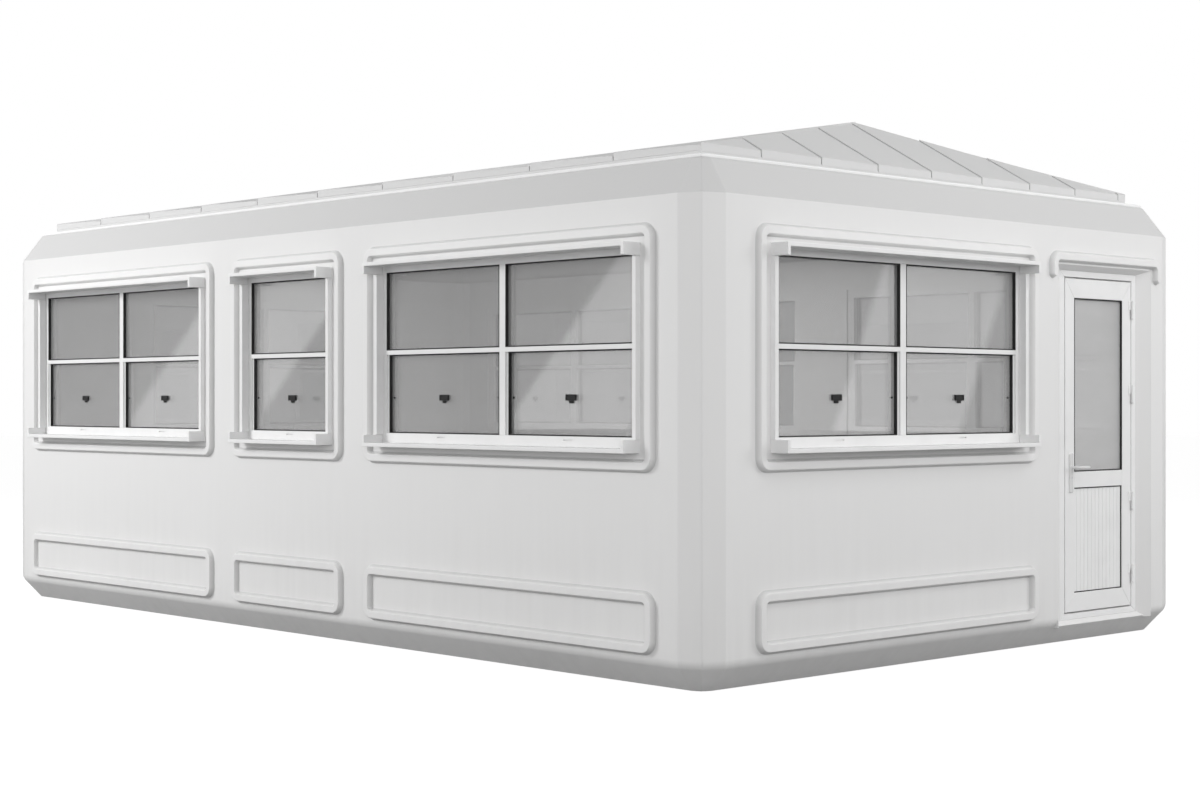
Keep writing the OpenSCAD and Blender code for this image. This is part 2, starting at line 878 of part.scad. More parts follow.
floor_base();
front_wall();
back_wall();
left_wall();
right_wall();
door_pier();
door_lintel();
corner_posts();
front_cornice();
back_cornice();
left_cornice();
right_cornice();
eave_lip();
front_roof();
back_roof();
left_roof();
right_roof();
front_mouldings();
back_mouldings();
left_mouldings();
right_mouldings();
front_window_frames();
back_window_frames();
left_window_frame();
right_window_frame();
front_glass();
back_glass();
left_glass();
right_glass();
window_hoods();
window_sills();
window_side_plates();
window_gaskets();
window_latches();
door_hood();
door_frame();
door_leaf();
door_glass();
door_panel();
door_gasket();
frame_hinges();
leaf_hinges();
handle_plates();
door_lever();
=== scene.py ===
"""Looks of the moulded kiosk cabin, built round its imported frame."""

import math

import bmesh
import bpy
from mathutils import Matrix, Vector


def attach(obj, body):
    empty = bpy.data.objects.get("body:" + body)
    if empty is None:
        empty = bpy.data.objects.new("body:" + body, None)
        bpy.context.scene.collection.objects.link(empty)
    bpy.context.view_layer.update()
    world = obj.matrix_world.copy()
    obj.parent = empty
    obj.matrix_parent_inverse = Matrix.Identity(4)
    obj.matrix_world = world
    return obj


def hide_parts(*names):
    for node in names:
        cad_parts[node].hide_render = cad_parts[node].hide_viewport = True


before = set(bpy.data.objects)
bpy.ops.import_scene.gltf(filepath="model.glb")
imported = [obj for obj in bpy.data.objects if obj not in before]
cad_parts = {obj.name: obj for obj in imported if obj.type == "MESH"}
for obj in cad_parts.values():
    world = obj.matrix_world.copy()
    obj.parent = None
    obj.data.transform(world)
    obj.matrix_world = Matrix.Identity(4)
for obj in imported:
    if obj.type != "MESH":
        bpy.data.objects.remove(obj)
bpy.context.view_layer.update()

# Sizes of the cabin, in metres, as in the part's source
HALF_L = 3.275
HALF_W = 2.0
FLOOR_H = 0.127
WALL_TOP = 2.286
RIB_W = 0.056
RIB_H = 0.028
RIB_LEAN = 0.010
RIB_CORNER = 0.070
SINGLE_W = 1.086
DOUBLE_W = 2.224
DOUBLE_AT = 1.865
END_AT = -0.53075
END_W = 2.2245
WINDOW_RIB = (1.004, 2.160)
PANEL_RIB = (0.159, 0.451)
GLASS_SIDE = 0.157
CASING_SIDE = 0.104
GLASS_LOW = 1.164
GLASS_TOP = 2.021
CASING_LOW = 1.092
CASING_TOP = 2.074
CASING_T = 0.021
CASING_OUT = 0.107
CHEEK_T = 0.020
CHEEK_H = 0.062
PLATE_OUT = 0.027
PLATE_T = 0.026
FRAME_IN = 0.019
FRAME_BACK = 0.089
MULLION_W = 0.046
RAIL = (1.581, 1.605)
SASH_W = 0.012
SASH_D = 0.010
GLASS_D = 0.018
SEAL_W = 0.006
PULL_Z = 1.352
DOOR_AT = 1.251
REVEAL_D = 0.045
DOOR_FRAME_HALF = 0.380
DOOR_FRAME_TOP = 2.055
DOOR_FRAME_W = 0.045
THRESHOLD_TOP = 0.160
LEAF_HALF = 0.327
LEAF_LOW = 0.168
LEAF_TOP = 2.012
LEAF_BACK = 0.089
PANE_HALF = 0.239
DOOR_GLASS = (0.943, 1.905)
DOOR_PANEL = (0.272, 0.854)
HINGE_Z = (0.350, 0.764, 1.375, 1.855)
HINGE_AT = 0.331
HINGE_H = 0.105
LEVER_AT = -0.275
LEVER_Z = 0.968
HOOD_W = 1.087
HOOD_TOP = 2.150
HOOD_LOW = 2.005

# Windows of each wall as (centre along the wall, rib frame width, columns of lights)
LONG_WINDOWS = [(-DOUBLE_AT, DOUBLE_W, 2), (0.0, SINGLE_W, 1), (DOUBLE_AT, DOUBLE_W, 2)]
LEFT_WINDOWS = [(0.0, DOUBLE_W, 2)]
RIGHT_WINDOWS = [(END_AT, END_W, 2)]

# A wall's own frame: x along it, y inwards from its face, z up
FRONT = Matrix.Translation((0, -HALF_W, 0))
BACK = Matrix.Rotation(math.pi, 4, "Z") @ FRONT
LEFT = Matrix.Rotation(-math.pi / 2, 4, "Z") @ Matrix.Translation((0, -HALF_L, 0))
RIGHT = Matrix.Rotation(math.pi / 2, 4, "Z") @ Matrix.Translation((0, -HALF_L, 0))
DOOR = RIGHT @ Matrix.Translation((DOOR_AT, 0, 0))
WALLS = {
    "front": (FRONT, LONG_WINDOWS),
    "back": (BACK, LONG_WINDOWS),
    "left": (LEFT, LEFT_WINDOWS),
    "right": (RIGHT, RIGHT_WINDOWS),
}


# Shader groups

def shader_group(name, inputs, outputs):
    """New node group with its input and output nodes."""
    group = bpy.data.node_groups.new(name, "ShaderNodeTree")
    for label, kind, value in inputs:
        socket = group.interface.new_socket(label, in_out="INPUT", socket_type=kind)
        socket.default_value = value
    for label, kind in outputs:
        group.interface.new_socket(label, in_out="OUTPUT", socket_type=kind)
    return group, group.nodes.new("NodeGroupInput"), group.nodes.new("NodeGroupOutput")


def add(tree, kind, links=None, **settings):
    """New node; links holds a socket or a plain value for each of its inputs."""
    node = tree.nodes.new(kind)
    for key, value in settings.items():
        setattr(node, key, value)
    for key, value in (links or {}).items():
        if isinstance(value, bpy.types.NodeSocket):
            tree.links.new(value, node.inputs[key])
        else:
            node.inputs[key].default_value = value
    return node


def math_node(tree, operation, a, b, clamp=False):
    return add(tree, "ShaderNodeMath", {0: a, 1: b}, operation=operation, use_clamp=clamp).outputs[0]


def noise(tree, point, scale, detail):
    return add(tree, "ShaderNodeTexNoise", {"Vector": point, "Scale": scale, "Detail": detail}).outputs["Fac"]


def blend(tree, factor, first, second):
    """Colour between two colours."""
    return add(tree, "ShaderNodeMix", {"Factor": factor, 6: first, 7: second}, data_type="RGBA").outputs[2]


def moulded_surface_group():
    """Gel-coat: slow waviness, fine orange peel, and darker patches and runs that grow towards the ground."""
    tree, inside, outside = shader_group(
        "moulded_surface",
        [("Point", "NodeSocketVector", (0, 0, 0)), ("Clean", "NodeSocketColor", (0.8, 0.8, 0.8, 1)),
         ("Darker", "NodeSocketColor", (0.6, 0.59, 0.57, 1)), ("Darkening", "NodeSocketFloat", 0.5),
         ("Peel", "NodeSocketFloat", 0.05)],
        [("Colour", "NodeSocketColor"), ("Roughness", "NodeSocketFloat"), ("Normal", "NodeSocketVector")])
    point = inside.outputs["Point"]
    cloud = noise(tree, point, 1.7, 5.0)
    stretched = add(tree, "ShaderNodeMapping", {"Vector": point, "Scale": (9.0, 9.0, 0.7)}).outputs[0]
    runs = noise(tree, stretched, 2.0, 4.0)
    height = add(tree, "ShaderNodeSeparateXYZ", {0: point}).outputs[2]
    # darker towards the ground: the patches weigh more from a metre up down to the foot
    low = add(tree, "ShaderNodeMapRange", {"Value": height, "From Min": 1.0, "From Max": 0.05,
                                           "To Min": 0.12, "To Max": 1.0}).outputs[0]
    patches = math_node(tree, "MULTIPLY", cloud, runs)
    patches = math_node(tree, "MULTIPLY", patches, low)
    darker_mask = math_node(tree, "MULTIPLY", patches, inside.outputs["Darkening"], True)
    colour = blend(tree, darker_mask, inside.outputs["Clean"], inside.outputs["Darker"])
    tree.links.new(colour, outside.inputs["Colour"])
    rough = add(tree, "ShaderNodeMapRange", {"Value": cloud, "To Min": 0.29, "To Max": 0.40}).outputs[0]
    tree.links.new(rough, outside.inputs["Roughness"])
    wave = noise(tree, point, 2.6, 1.0)
    peel = noise(tree, point, 160.0, 2.0)
    slow = add(tree, "ShaderNodeBump", {"Strength": 0.12, "Distance": 0.004, "Height": wave}).outputs[0]
    fine = add(tree, "ShaderNodeBump", {"Strength": inside.outputs["Peel"], "Distance": 0.0006,
                                        "Height": peel, "Normal": slow}).outputs[0]
    tree.links.new(fine, outside.inputs["Normal"])
    return tree


def extruded_surface_group():
    """Extruded plastic or metal: faint draw lines along one direction and small changes of sheen."""
    tree, inside, outside = shader_group(
        "extruded_surface",
        [("Point", "NodeSocketVector", (0, 0, 0)), ("Clean", "NodeSocketColor", (0.8, 0.8, 0.8, 1)),
         ("Worn", "NodeSocketColor", (0.7, 0.7, 0.7, 1)), ("Stretch", "NodeSocketVector", (60, 60, 1)),
         ("Rough", "NodeSocketFloat", 0.35), ("Lines", "NodeSocketFloat", 0.05)],
        [("Colour", "NodeSocketColor"), ("Roughness", "NodeSocketFloat"), ("Normal", "NodeSocketVector")])
    point = inside.outputs["Point"]
    along = add(tree, "ShaderNodeMapping", {"Vector": point, "Scale": inside.outputs["Stretch"]}).outputs[0]
    lines = noise(tree, along, 3.0, 3.0)
    grime = noise(tree, point, 6.0, 6.0)
    worn = add(tree, "ShaderNodeMapRange", {"Value": grime, "From Min": 0.45, "From Max": 0.8}).outputs[0]
    colour = blend(tree, worn, inside.outputs["Clean"], inside.outputs["Worn"])
    tree.links.new(colour, outside.inputs["Colour"])
    spread = add(tree, "ShaderNodeMapRange", {"Value": lines, "To Min": -0.06, "To Max": 0.08}).outputs[0]
    rough = math_node(tree, "ADD", inside.outputs["Rough"], spread)
    tree.links.new(rough, outside.inputs["Roughness"])
    bump = add(tree, "ShaderNodeBump", {"Strength": inside.outputs["Lines"], "Distance": 0.0005,
                                        "Height": lines}).outputs[0]
    tree.links.new(bump, outside.inputs["Normal"])
    return tree


# Vertex mark of the painted shade at the foot of each rib
RIB_FOOT_SHADE = "rib_foot_painted_shade"
MOULDED = moulded_surface_group()
EXTRUDED = extruded_surface_group()


def grey(value, warm=0.0):
    """Grey as a colour, a little redder and less blue where it is warm."""
    return (value + warm, value, value - warm, 1.0)


def new_material(name):
    """Empty material with object coordinates, a shader and an output."""
    material = bpy.data.materials.new(name)
    material.use_nodes = True
    tree = material.node_tree
    tree.nodes.clear()
    point = add(tree, "ShaderNodeTexCoord").outputs["Object"]
    shader = add(tree, "ShaderNodeBsdfPrincipled")
    out = add(tree, "ShaderNodeOutputMaterial", {"Surface": shader.outputs[0]})
    return material, tree, point, shader, out


def dress(tree, shader, surface, colour):
    """Gives the shader a colour and a surface group's roughness and normal."""
    tree.links.new(colour, shader.inputs["Base Color"])
    tree.links.new(surface.outputs["Roughness"], shader.inputs["Roughness"])
    tree.links.new(surface.outputs["Normal"], shader.inputs["Normal"])


def moulded_material(name, clean, darker_tone, darkening_share, peel, shade_mark=""):
    """Gel-coat finish; a named vertex mark darkens the colour there as painted shade."""
    material, tree, point, shader, _ = new_material(name)
    surface = add(tree, "ShaderNodeGroup", {"Point": point, "Clean": clean, "Darker": darker_tone,
                                            "Darkening": darkening_share, "Peel": peel}, node_tree=MOULDED)
    colour = surface.outputs["Colour"]
    if shade_mark:
        # painted shade: the marked rib feet are blended towards dark grey where shade falls beside the wall
        foot_shade = add(tree, "ShaderNodeAttribute", attribute_name=shade_mark).outputs["Fac"]
        painted_shade = math_node(tree, "MULTIPLY", foot_shade, 0.5)
        colour = blend(tree, painted_shade, colour, grey(0.42))
    dress(tree, shader, surface, colour)
    return material


def extruded_material(name, clean, worn, stretch, rough, lines, metallic=0.0):
    """Extruded finish; stretch packs its draw lines across the drawing direction."""
    material, tree, point, shader, _ = new_material(name)
    surface = add(tree, "ShaderNodeGroup", {"Point": point, "Clean": clean, "Worn": worn, "Stretch": stretch,
                                            "Rough": rough, "Lines": lines}, node_tree=EXTRUDED)
    dress(tree, shader, surface, surface.outputs["Colour"])
    shader.inputs["Metallic"].default_value = metallic
    return material


def glass_material(name, deep, pale):
    """Tinted pane: see-through with a grey haze, faint cleaning smears and a strong mirror gloss."""
    material, tree, point, shader, _ = new_material(name)
    wiped = add(tree, "ShaderNodeMapping", {"Vector": point, "Scale": (1.0, 1.0, 2.5)}).outputs[0]
    smear = noise(tree, wiped, 2.2, 5.0)
    tint = blend(tree, smear, grey(deep), grey(pale))
    haze = add(tree, "ShaderNodeMapRange", {"Value": smear, "To Min": 0.47, "To Max": 0.53}).outputs[0]
    rough = add(tree, "ShaderNodeMapRange", {"Value": smear, "To Min": 0.0, "To Max": 0.02}).outputs[0]
    tree.links.new(tint, shader.inputs["Base Color"])
    tree.links.new(haze, shader.inputs["Alpha"])
    tree.links.new(rough, shader.inputs["Roughness"])
    shader.inputs["IOR"].default_value = 2.3
    shader.inputs["Specular IOR Level"].default_value = 1.0
    return material


SHELL = moulded_material("shell_gel_coat", grey(0.80, 0.002), grey(0.58, 0.006), 0.7, 0.05)
# the rib material carries painted shade at the rib feet
RIB = moulded_material("rib_gel_coat", grey(0.82, 0.002), grey(0.58, 0.006), 0.6, 0.05, RIB_FOOT_SHADE)
BASE = moulded_material("base_gel_coat", grey(0.72, 0.002), grey(0.50, 0.012), 0.9, 0.08)
# painted shade: a darker copy of the moulding's gel-coat for the cornice
CORNICE_SHADED_COPY = moulded_material("cornice_gel_coat_painted_shade", grey(0.63, 0.001), grey(0.54, 0.006), 0.6, 0.05)
# painted highlight: a lighter copy of the moulding's gel-coat for the eave lip
LIP_LIT_COPY = moulded_material("eave_lip_gel_coat_painted_highlight", grey(0.90), grey(0.78), 0.5, 0.05)
ROOF = moulded_material("roof_gel_coat", grey(0.66, 0.0), grey(0.52, 0.008), 0.8, 0.12)
FRAME = extruded_material("white_frame_plastic", grey(0.84), grey(0.80), (2, 2, 90), 0.30, 0.04)
CASING = extruded_material("casing_board_plastic", grey(0.85), grey(0.81), (2, 40, 40), 0.34, 0.04)
SEAL = extruded_material("black_seal_rubber", grey(0.012), grey(0.022), (30, 30, 30), 0.55, 0.2)
PULL = extruded_material("black_pull_plastic", grey(0.010), grey(0.018), (80, 80, 80), 0.38, 0.1)
HINGE = extruded_material("white_hinge_coat", grey(0.90), grey(0.84), (50, 50, 2), 0.36, 0.05)
HANDLE = extruded_material("satin_handle_metal", grey(0.84), grey(0.74), (90, 4, 90), 0.22, 0.08, 0.35)
GLASS = glass_material("tinted_glass_pane", 0.33, 0.38)
DOOR_PANE = glass_material("door_pane_glass", 0.66, 0.72)

CAD_LOOKS = {
    "shell_moulding": SHELL, "base_moulding": BASE, "roof_moulding": ROOF, "white_frame": FRAME,
    "tinted_glass": GLASS, "black_gasket": SEAL, "black_pull": PULL, "white_hinge": HINGE,
    "satin_handle": HANDLE,
}
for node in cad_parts.values():
    for holder in node.material_slots:
        label = holder.material.name.split(".")[0] if holder.material else ""
        holder.material = CAD_LOOKS.get(label, SHELL)
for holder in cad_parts["door_glass"].material_slots:
    holder.material = DOOR_PANE


# Modelling helpers

def verts_of(geom):
    return [g for g in geom if isinstance(g, bmesh.types.BMVert)]


def edges_of(geom):
    return [g for g in geom if isinstance(g, bmesh.types.BMEdge)]


def grow(bm, points, path):
    """Closed solid between a face on points and its copy moved along path."""
    face = bm.faces.new([bm.verts.new(point) for point in points])
    grown = bmesh.ops.extrude_face_region(bm, geom=[face])["geom"]
    bmesh.ops.translate(bm, verts=verts_of(grown), vec=path)
    return face


def prism(bm, outline, y0, y1):
    """Closed prism on an outline of (x, z) points, from depth y0 to depth y1."""
    return grow(bm, [(x, y0, z) for x, z in outline], (0, y1 - y0, 0))


def block(bm, x, y, z):
    return prism(bm, [(x[0], z[0]), (x[1], z[0]), (x[1], z[1]), (x[0], z[1])], y[0], y[1])


def mitred_frame(bm, outer, inner, y):
    """Four members with mitred corners between two rectangles, each ((x0, x1), (z0, z1))."""
    rings = [[(x[0], z[0]), (x[1], z[0]), (x[1], z[1]), (x[0], z[1])] for x, z in (outer, inner)]
    for i in range(4):
        j = (i + 1) % 4
        prism(bm, [rings[0][i], rings[0][j], rings[1][j], rings[1][i]], y[0], y[1])


def round_edges(bm, edges, width, segments=2):
    bmesh.ops.bevel(bm, geom=edges, offset=width, offset_type="OFFSET", segments=segments, profile=0.5,
                    affect="EDGES", clamp_overlap=True, material=-1)


def sharp_edges(bm, angle):
    return [e for e in bm.edges if len(e.link_faces) == 2 and e.calc_face_angle(0) > angle]


def soften(bm, width, segments=2):
    """Rounds every edge where two faces clearly turn."""
    bmesh.ops.recalc_face_normals(bm, faces=bm.faces)
    round_edges(bm, sharp_edges(bm, 0.4), width, segments)


def place(bm, known, matrix):
    """Carries what was drawn since known by a matrix, such as a wall's own frame."""
    bmesh.ops.transform(bm, matrix=matrix, verts=[v for v in bm.verts if v not in known])


def join(whole, bm):
    """Adds one mesh to another and frees it."""
    drawn = bpy.data.meshes.new("drawn")
    bm.to_mesh(drawn)
    bm.free()
    whole.from_mesh(drawn)
    bpy.data.meshes.remove(drawn)


def piece(name, bm, body, slot, material, *nodes):
    """Finished object that rides on a body and stands for the CAD nodes named."""
    bmesh.ops.recalc_face_normals(bm, faces=bm.faces)
    mesh = bpy.data.meshes.new(name)
    bm.to_mesh(mesh)
    bm.free()
    for face in mesh.polygons:
        face.use_smooth = True
    mesh.set_sharp_from_angle(angle=math.radians(40))
    mesh.materials.append(material)
    obj = bpy.data.objects.new(name, mesh)
    bpy.context.scene.collection.objects.link(obj)
    even = obj.modifiers.new("even_normals", "WEIGHTED_NORMAL")
    even.keep_sharp = True
    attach(obj, body)
    if nodes:
        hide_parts(*nodes)
    return obj


def revolved(bm, profile, centre, axis, side, steps=20):
    """Turns a profile of (radius, height) once round an axis through centre."""
    axis = Vector(axis)
    side = Vector(side)
    verts = [bm.verts.new(Vector(centre) + side * r + axis * h) for r, h in profile]
    edges = [bm.edges.new(pair) for pair in zip(verts, verts[1:])]
    bmesh.ops.spin(bm, geom=verts + edges, cent=centre, axis=axis, angle=2 * math.pi, steps=steps,
                   use_merge=True)
    bmesh.ops.remove_doubles(bm, verts=bm.verts, dist=1e-5)


# Ribs moulded on the walls

FOOT_R = 0.006
TOP_R = 0.005
RIB_ROOT = -0.003
# How far up the rib the painted shade reaches
FOOT_SHADE_REACH = 0.022


def rib_half():
    """Half of a rib's section as (across, height), from under the wall face to the middle of the top."""
    tilt = math.atan2(RIB_LEAN, RIB_H)
    arc = math.pi / 2 - tilt
    reach = math.tan(arc / 2)
    foot = RIB_W / 2 + FOOT_R * reach
    top = RIB_W / 2 - RIB_LEAN - TOP_R * reach
    points = [(0.0, RIB_ROOT), (foot, RIB_ROOT)]
    for i in range(5):
        turn = 1.5 * math.pi - arc * i / 4
        points.append((foot + FOOT_R * math.cos(turn), FOOT_R + FOOT_R * math.sin(turn)))
    for i in range(5):
        turn = tilt + arc * i / 4
        points.append((top + TOP_R * math.cos(turn), RIB_H - TOP_R + TOP_R * math.sin(turn)))
    return points + [(0.0, RIB_H)]


def rib_ring(bm, x, z, outward):
    """A rib's whole section as a ring of edges, standing at (x, z) and facing outward along x or z."""
    half = rib_half()
    section = half + [(-u, h) for u, h in reversed(half[1:-1])]
    verts = [bm.verts.new((x + outward[0] * u, -h, z + outward[1] * u)) for u, h in section]
    return [bm.edges.new((a, verts[(i + 1) % len(verts)])) for i, a in enumerate(verts)]


def run_on(bm, edges, x, z):
    """Runs a section straight on and gives its far ring."""
    grown = bmesh.ops.extrude_edge_only(bm, edges=edges)["geom"]
    bmesh.ops.translate(bm, verts=verts_of(grown), vec=(x, 0, z))
    return [e for e in edges_of(grown) if len(e.link_faces) == 1]


def turn_on(bm, edges, x, z):
    """Turns a section a quarter round (x, z) and gives its far ring."""
    verts = list({v for e in edges for v in e.verts})
    return edges_of(bmesh.ops.spin(bm, geom=verts + edges, cent=(x, 0, z), axis=(0, -1, 0), angle=math.pi / 2,
                                   steps=8)["geom_last"])


def rib_frame(bm, at, w, low, top):
    """Closed rib frame with rounded corners, run round from its lower left."""
    hx = w / 2 - RIB_CORNER
    hz = (top - low) / 2 - RIB_CORNER
    z0 = low + RIB_CORNER
    z1 = top - RIB_CORNER
    ring = rib_ring(bm, at - hx, low + RIB_W / 2, (0, -1))
    ring = turn_on(bm, run_on(bm, ring, 2 * hx, 0), at + hx, z0)
    ring = turn_on(bm, run_on(bm, ring, 0, 2 * hz), at + hx, z1)
    ring = turn_on(bm, run_on(bm, ring, -2 * hx, 0), at - hx, z1)
    turn_on(bm, run_on(bm, ring, 0, -2 * hz), at - hx, z0)
    bmesh.ops.remove_doubles(bm, verts=bm.verts, dist=1e-5)


def mark_rib_feet(bm):
    """Marks how near each point lies to the foot of its rib, where painted shade darkens the colour."""
    mark = bm.verts.layers.float.new(RIB_FOOT_SHADE)
    for vert in bm.verts:
        vert[mark] = min(max(1 + vert.co.y / FOOT_SHADE_REACH, 0.0), 1.0)


def wall_ribs(side):
    matrix, windows = WALLS[side]
    bm = bmesh.new()
    for at, w, _ in windows:
        rib_frame(bm, at, w, *WINDOW_RIB)
        rib_frame(bm, at, w, *PANEL_RIB)
    mark_rib_feet(bm)
    place(bm, set(), matrix)
    piece(side + "_ribs", bm, "cabin", "shell_moulding", RIB, side + "_mouldings")


def rib_end(bm, x, z):
    """Half-round end of a rib that comes down to (x, z)."""
    verts = [bm.verts.new((x - u, -h, z)) for u, h in rib_half()]
    edges = [bm.edges.new(pair) for pair in zip(verts, verts[1:])]
    bmesh.ops.spin(bm, geom=verts + edges, cent=(x, 0, z), axis=(0, -1, 0), angle=math.pi, steps=14)


def door_hood_rib():
    bm = bmesh.new()
    hx = HOOD_W / 2 - RIB_CORNER
    bend = RIB_CORNER - RIB_W / 2
    top = HOOD_TOP - RIB_CORNER
    foot = HOOD_LOW + RIB_W / 2
    ring = rib_ring(bm, hx + bend, foot, (1, 0))
    ring = turn_on(bm, run_on(bm, ring, 0, top - foot), hx, top)
    ring = turn_on(bm, run_on(bm, ring, -2 * hx, 0), -hx, top)
    run_on(bm, ring, 0, foot - top)
    for x in (-hx - bend, hx + bend):
        rib_end(bm, x, foot)
    bmesh.ops.remove_doubles(bm, verts=bm.verts, dist=1e-5)
    mark_rib_feet(bm)
    place(bm, set(), DOOR)
    piece("door_hood_rib", bm, "cabin", "shell_moulding", RIB, "door_hood")


# Windows

def casing_half(w):
    """Half the width of the casing, and of the wall's opening, inside a rib frame of width w."""
    return w / 2 - CASING_SIDE


def light_columns(w, columns):
    """Spans of the lights along the wall."""
    g = w / 2 - GLASS_SIDE
    return [(-g, -MULLION_W / 2), (MULLION_W / 2, g)] if columns == 2 else [(-g, g)]


def window_lights(w, columns):
    """Lights as (column, row, depth of the frame round it, depth of the glass)."""
    upper = [(c, (RAIL[1], GLASS_TOP), FRAME_IN, FRAME_IN + GLASS_D) for c in light_columns(w, columns)]
    lower = [((c[0] + SASH_W, c[1] - SASH_W), (GLASS_LOW, RAIL[0]), FRAME_IN + SASH_D,
              FRAME_IN + SASH_D + GLASS_D) for c in light_columns(w, columns)]
    return upper, lower


def on_every_wall(draw):
    """Draws a trim piece at each window of each wall in one mesh."""
    bm = bmesh.new()
    for matrix, windows in WALLS.values():
        for at, w, columns in windows:
            known = set(bm.verts)
            draw(bm, w, columns)
            place(bm, known, matrix @ Matrix.Translation((at, 0, 0)))
    return bm


def hood_board(bm, w, columns):
    h = casing_half(w)
    low = CASING_TOP - CHEEK_H
    under = CASING_TOP - CASING_T
    prism(bm, [(-h, low), (CHEEK_T - h, low), (CHEEK_T - h, under), (h - CHEEK_T, under), (h - CHEEK_T, low),
               (h, low), (h, CASING_TOP), (-h, CASING_TOP)], -CASING_OUT, FRAME_IN)


def sill_board(bm, w, columns):
    h = casing_half(w)
    high = CASING_LOW + CHEEK_H
    over = CASING_LOW + CASING_T
    prism(bm, [(-h, high), (-h, CASING_LOW), (h, CASING_LOW), (h, high), (h - CHEEK_T, high),
               (h - CHEEK_T, over), (CHEEK_T - h, over), (CHEEK_T - h, high)], -CASING_OUT, FRAME_IN)


def lining_plates(bm, w, columns):
    h = casing_half(w)
    for x in (-h, h - PLATE_T):
        block(bm, (x, x + PLATE_T), (-PLATE_OUT, FRAME_IN), (CASING_LOW + CHEEK_H, CASING_TOP - CHEEK_H))


def inset_ring(bm, column, row, width, depth):
    """Mitred ring of one width inside a span along the wall and a span of heights."""
    inner = ((column[0] + width, column[1] - width), (row[0] + width, row[1] - width))
    mitred_frame(bm, (column, row), inner, depth)


def seal_rings(bm, w, columns):
    for lights in window_lights(w, columns):
        for column, row, face, glass in lights:
            inset_ring(bm, column, row, SEAL_W, (face, glass))


PULL_W = 0.069
PULL_H = 0.031
PULL_OUT = 0.013
PULL_RIM = 0.005
PULL_DISH = (0, 0.005, -0.002)
TAB_HALF = 0.014
TAB_H = 0.013
TAB_OUT = 0.008
BUTTON_IN = 0.024
BUTTON = [(0.0, 0.007), (0.003, 0.0066), (0.0052, 0.005), (0.006, 0.002), (0.006, 0.0), (0.0, 0.0)]


def sash_pulls(bm, w, columns):
    """Finger pull with a dished face and a tab, and a button at each side of the light."""
    for column, row, face, glass in window_lights(w, columns)[1]:
        x = (column[0] + column[1]) / 2
        low = PULL_Z - PULL_H / 2
        front = block(bm, (x - PULL_W / 2, x + PULL_W / 2), (glass - PULL_OUT, glass),
                      (low, PULL_Z + PULL_H / 2))
        bmesh.ops.inset_region(bm, faces=[front], thickness=PULL_RIM, use_even_offset=True)
        bmesh.ops.translate(bm, verts=front.verts, vec=PULL_DISH)
        block(bm, (x - TAB_HALF, x + TAB_HALF), (glass - TAB_OUT, glass), (low - TAB_H, low))
        for button in (column[0] + BUTTON_IN, column[1] - BUTTON_IN):
            revolved(bm, BUTTON, (button, glass, PULL_Z), (0, -1, 0), (1, 0, 0), 12)


DRAIN_W = 0.065
DRAIN_H = 0.005
DRAIN_D = 0.008
DRAIN_Z = GLASS_LOW - 0.016


def sash_frame(bm, w, columns):
    """Welded outer frame, upright, meeting rails and the slim stiles of the sliding lower sashes."""
    h = casing_half(w)
    g = w / 2 - GLASS_SIDE
    depth = (FRAME_IN, FRAME_BACK)
    mitred_frame(bm, ((-h, h), (CASING_LOW, CASING_TOP)), ((-g, g), (GLASS_LOW, GLASS_TOP)), depth)
    if columns == 2:
        block(bm, (-MULLION_W / 2, MULLION_W / 2), depth, (GLASS_LOW, GLASS_TOP))
    for column in light_columns(w, columns):
        block(bm, column, depth, RAIL)
        for x in (column[0], column[1] - SASH_W):
            block(bm, (x, x + SASH_W), (FRAME_IN + SASH_D, FRAME_BACK), (GLASS_LOW, RAIL[0]))


def on_frame_face(face):
    return abs(face.calc_center_median().y - FRAME_IN) < 1e-4


def cut_foot(bm, point, along, x):
    """Splits the front face of the frame's foot near x on one plane."""
    near = [f for f in bm.faces if abs(f.normal.y) > 0.99 and on_frame_face(f)
            and f.calc_center_median().z < GLASS_LOW
            and min(v.co.x for v in f.verts) < x < max(v.co.x for v in f.verts)]
    geom = near + [e for f in near for e in f.edges] + [v for f in near for v in f.verts]
    bmesh.ops.bisect_plane(bm, geom=list(set(geom)), dist=1e-6, plane_co=point, plane_no=along)


def drain_slots(bm, w, columns):
    """Cuts a drain slot into the frame's foot under each light."""
    for column in light_columns(w, columns):
        x = (column[0] + column[1]) / 2
        for at in (x - DRAIN_W / 2, x + DRAIN_W / 2):
            cut_foot(bm, (at, 0, 0), (1, 0, 0), x)
        for at in (DRAIN_Z - DRAIN_H, DRAIN_Z):
            cut_foot(bm, (0, 0, at), (0, 0, 1), x)
        slot = [f for f in bm.faces if abs(f.calc_center_median().x - x) < 0.01 and on_frame_face(f)
                and abs(f.calc_center_median().z - DRAIN_Z + DRAIN_H / 2) < 0.001]
        sunk = bmesh.ops.extrude_discrete_faces(bm, faces=slot)["faces"]
        bmesh.ops.translate(bm, verts=[v for f in sunk for v in f.verts], vec=(0, DRAIN_D, 0))


def wall_frames(side):
    matrix, windows = WALLS[side]
    bm = bmesh.new()
    for at, w, columns in windows:
        one = bmesh.new()
        sash_frame(one, w, columns)
        soften(one, 0.002)
        bmesh.ops.recalc_face_normals(one, faces=one.faces)
        drain_slots(one, w, columns)
        place(one, set(), matrix @ Matrix.Translation((at, 0, 0)))
        join(bm, one)
    node = side + ("_window_frames" if len(windows) > 1 else "_window_frame")
    piece(side + "_sash_frames", bm, "cabin", "white_frame", FRAME, node)


def trim_piece(name, draw, width, slot, material, node):
    bm = on_every_wall(draw)
    soften(bm, width)
    piece(name, bm, "cabin", slot, material, node)


# Door

